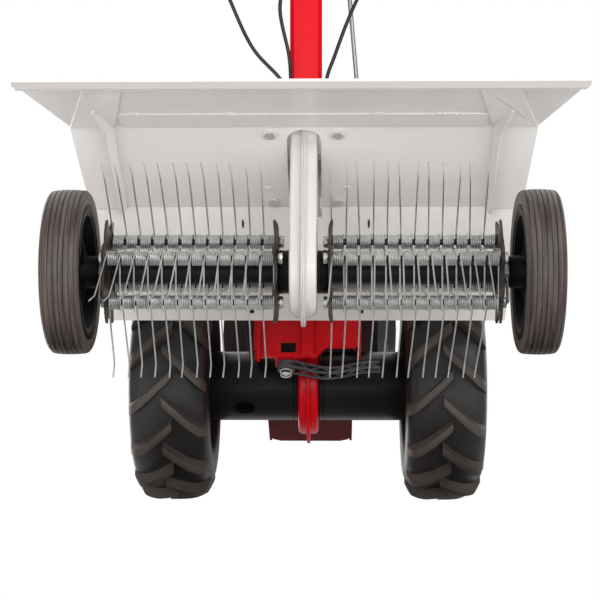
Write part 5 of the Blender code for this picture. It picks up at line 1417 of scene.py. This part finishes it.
def to_deck(x):
    """The last points of a cable, down to the engine's deck."""
    return [spot(x, 0.402, deck_z + height) for height in (0.130, 0.030, 0.0003)]


def along_mast(*points):
    """Points given by beside_mast's three numbers each."""
    return [beside_mast(*point) for point in points]


clutch = [*from_lever(-1), spot(-0.172, 0.100, 0.788),
          *along_mast((-0.121, -0.0425, 0.4075), (-0.086, -0.0425, 0.334), (-0.0385, -0.0410, 0.278),
                      (-0.0365, -0.0200, 0.225), (-0.0365, 0.0, 0.140)), *to_deck(-0.0365)]
drive = [*from_lever(1), spot(0.140, 0.110, 0.790),
         *along_mast((0.0717, -0.0425, 0.4075), (0.0379, -0.0425, 0.3225), (0.0247, -0.0400, 0.280),
                     (0.0235, -0.0100, 0.215), (0.0235, 0.0100, 0.140)), *to_deck(0.0265)]
hub_y = rotor_y - 0.492
filter_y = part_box("air_filter")[0][1] - 0.0003
throttle = [(0.2868, hub_y + 0.0143, bar_z), (0.2868, hub_y + 0.040, bar_z - 0.002),
            spot(0.280, -0.330, 0.950), spot(0.238, -0.100, 0.886), spot(0.150, 0.060, 0.825),
            spot(0.060, 0.140, 0.785), spot(-0.020, 0.185, 0.745),
            *along_mast((-0.0450, -0.0425, 0.400), (-0.0314, -0.0400, 0.3225), (-0.0290, -0.0275, 0.275),
                        (-0.0290, -0.0264, 0.235), (-0.0360, -0.0310, 0.190), (-0.0460, -0.0140, 0.140),
                        (-0.0460, 0.0200, 0.090)),
            (-0.036, filter_y - 0.058, 0.436), (-0.016, filter_y - 0.028, 0.427),
            (-0.010, filter_y - 0.012, 0.425), (-0.010, filter_y, 0.425)]
for name, points in (("clutch", clutch), ("drive", drive), ("throttle", throttle)):
    print(name, "cable", round(cable(f"{name}_sheath", points, f"{name}_cable"), 3), "m long")

# %% [markdown]
# The gears are changed with a straight rod beside the mast. Its knob is a swept ball: the radius is
# 11.5 mm times the square root of 1 - ((t - 1 mm) / 12.5 mm)^2 at a distance t along the rod from its top.

# %% The shift rod and its knob
rod_low, rod_top = np.array(along_mast((0.089, -0.010, 0.085), (0.0575, -0.010, 0.455)))
way = (rod_top - rod_low) / np.linalg.norm(rod_top - rod_low)
rod = swept((rod_low, rod_low * 0.5 + rod_top * 0.5, rod_top), 0.0035, 20)
t = np.linspace(-0.010, 0.012, 15)
knob_radius = 0.0115 * np.sqrt(np.clip(1 - ((t - 0.001) / 0.0125) ** 2, 0.03, 1))
knob = swept(rod_top + t[:, None] * way, knob_radius, 32)
piece("shift_bar", [rod], steel, "shift_rod", ["shift_rod"])
piece("shift_knob", [knob], plastic, "shift_rod")
print("shift rod", round(float(np.linalg.norm(rod_top - rod_low)) * 1000), "mm long")

# %% [markdown]
# ## Count of pieces
# The number of pieces made and of all their faces is printed.

print("pieces made:", len(made), "faces in all:", sum(made.values()))
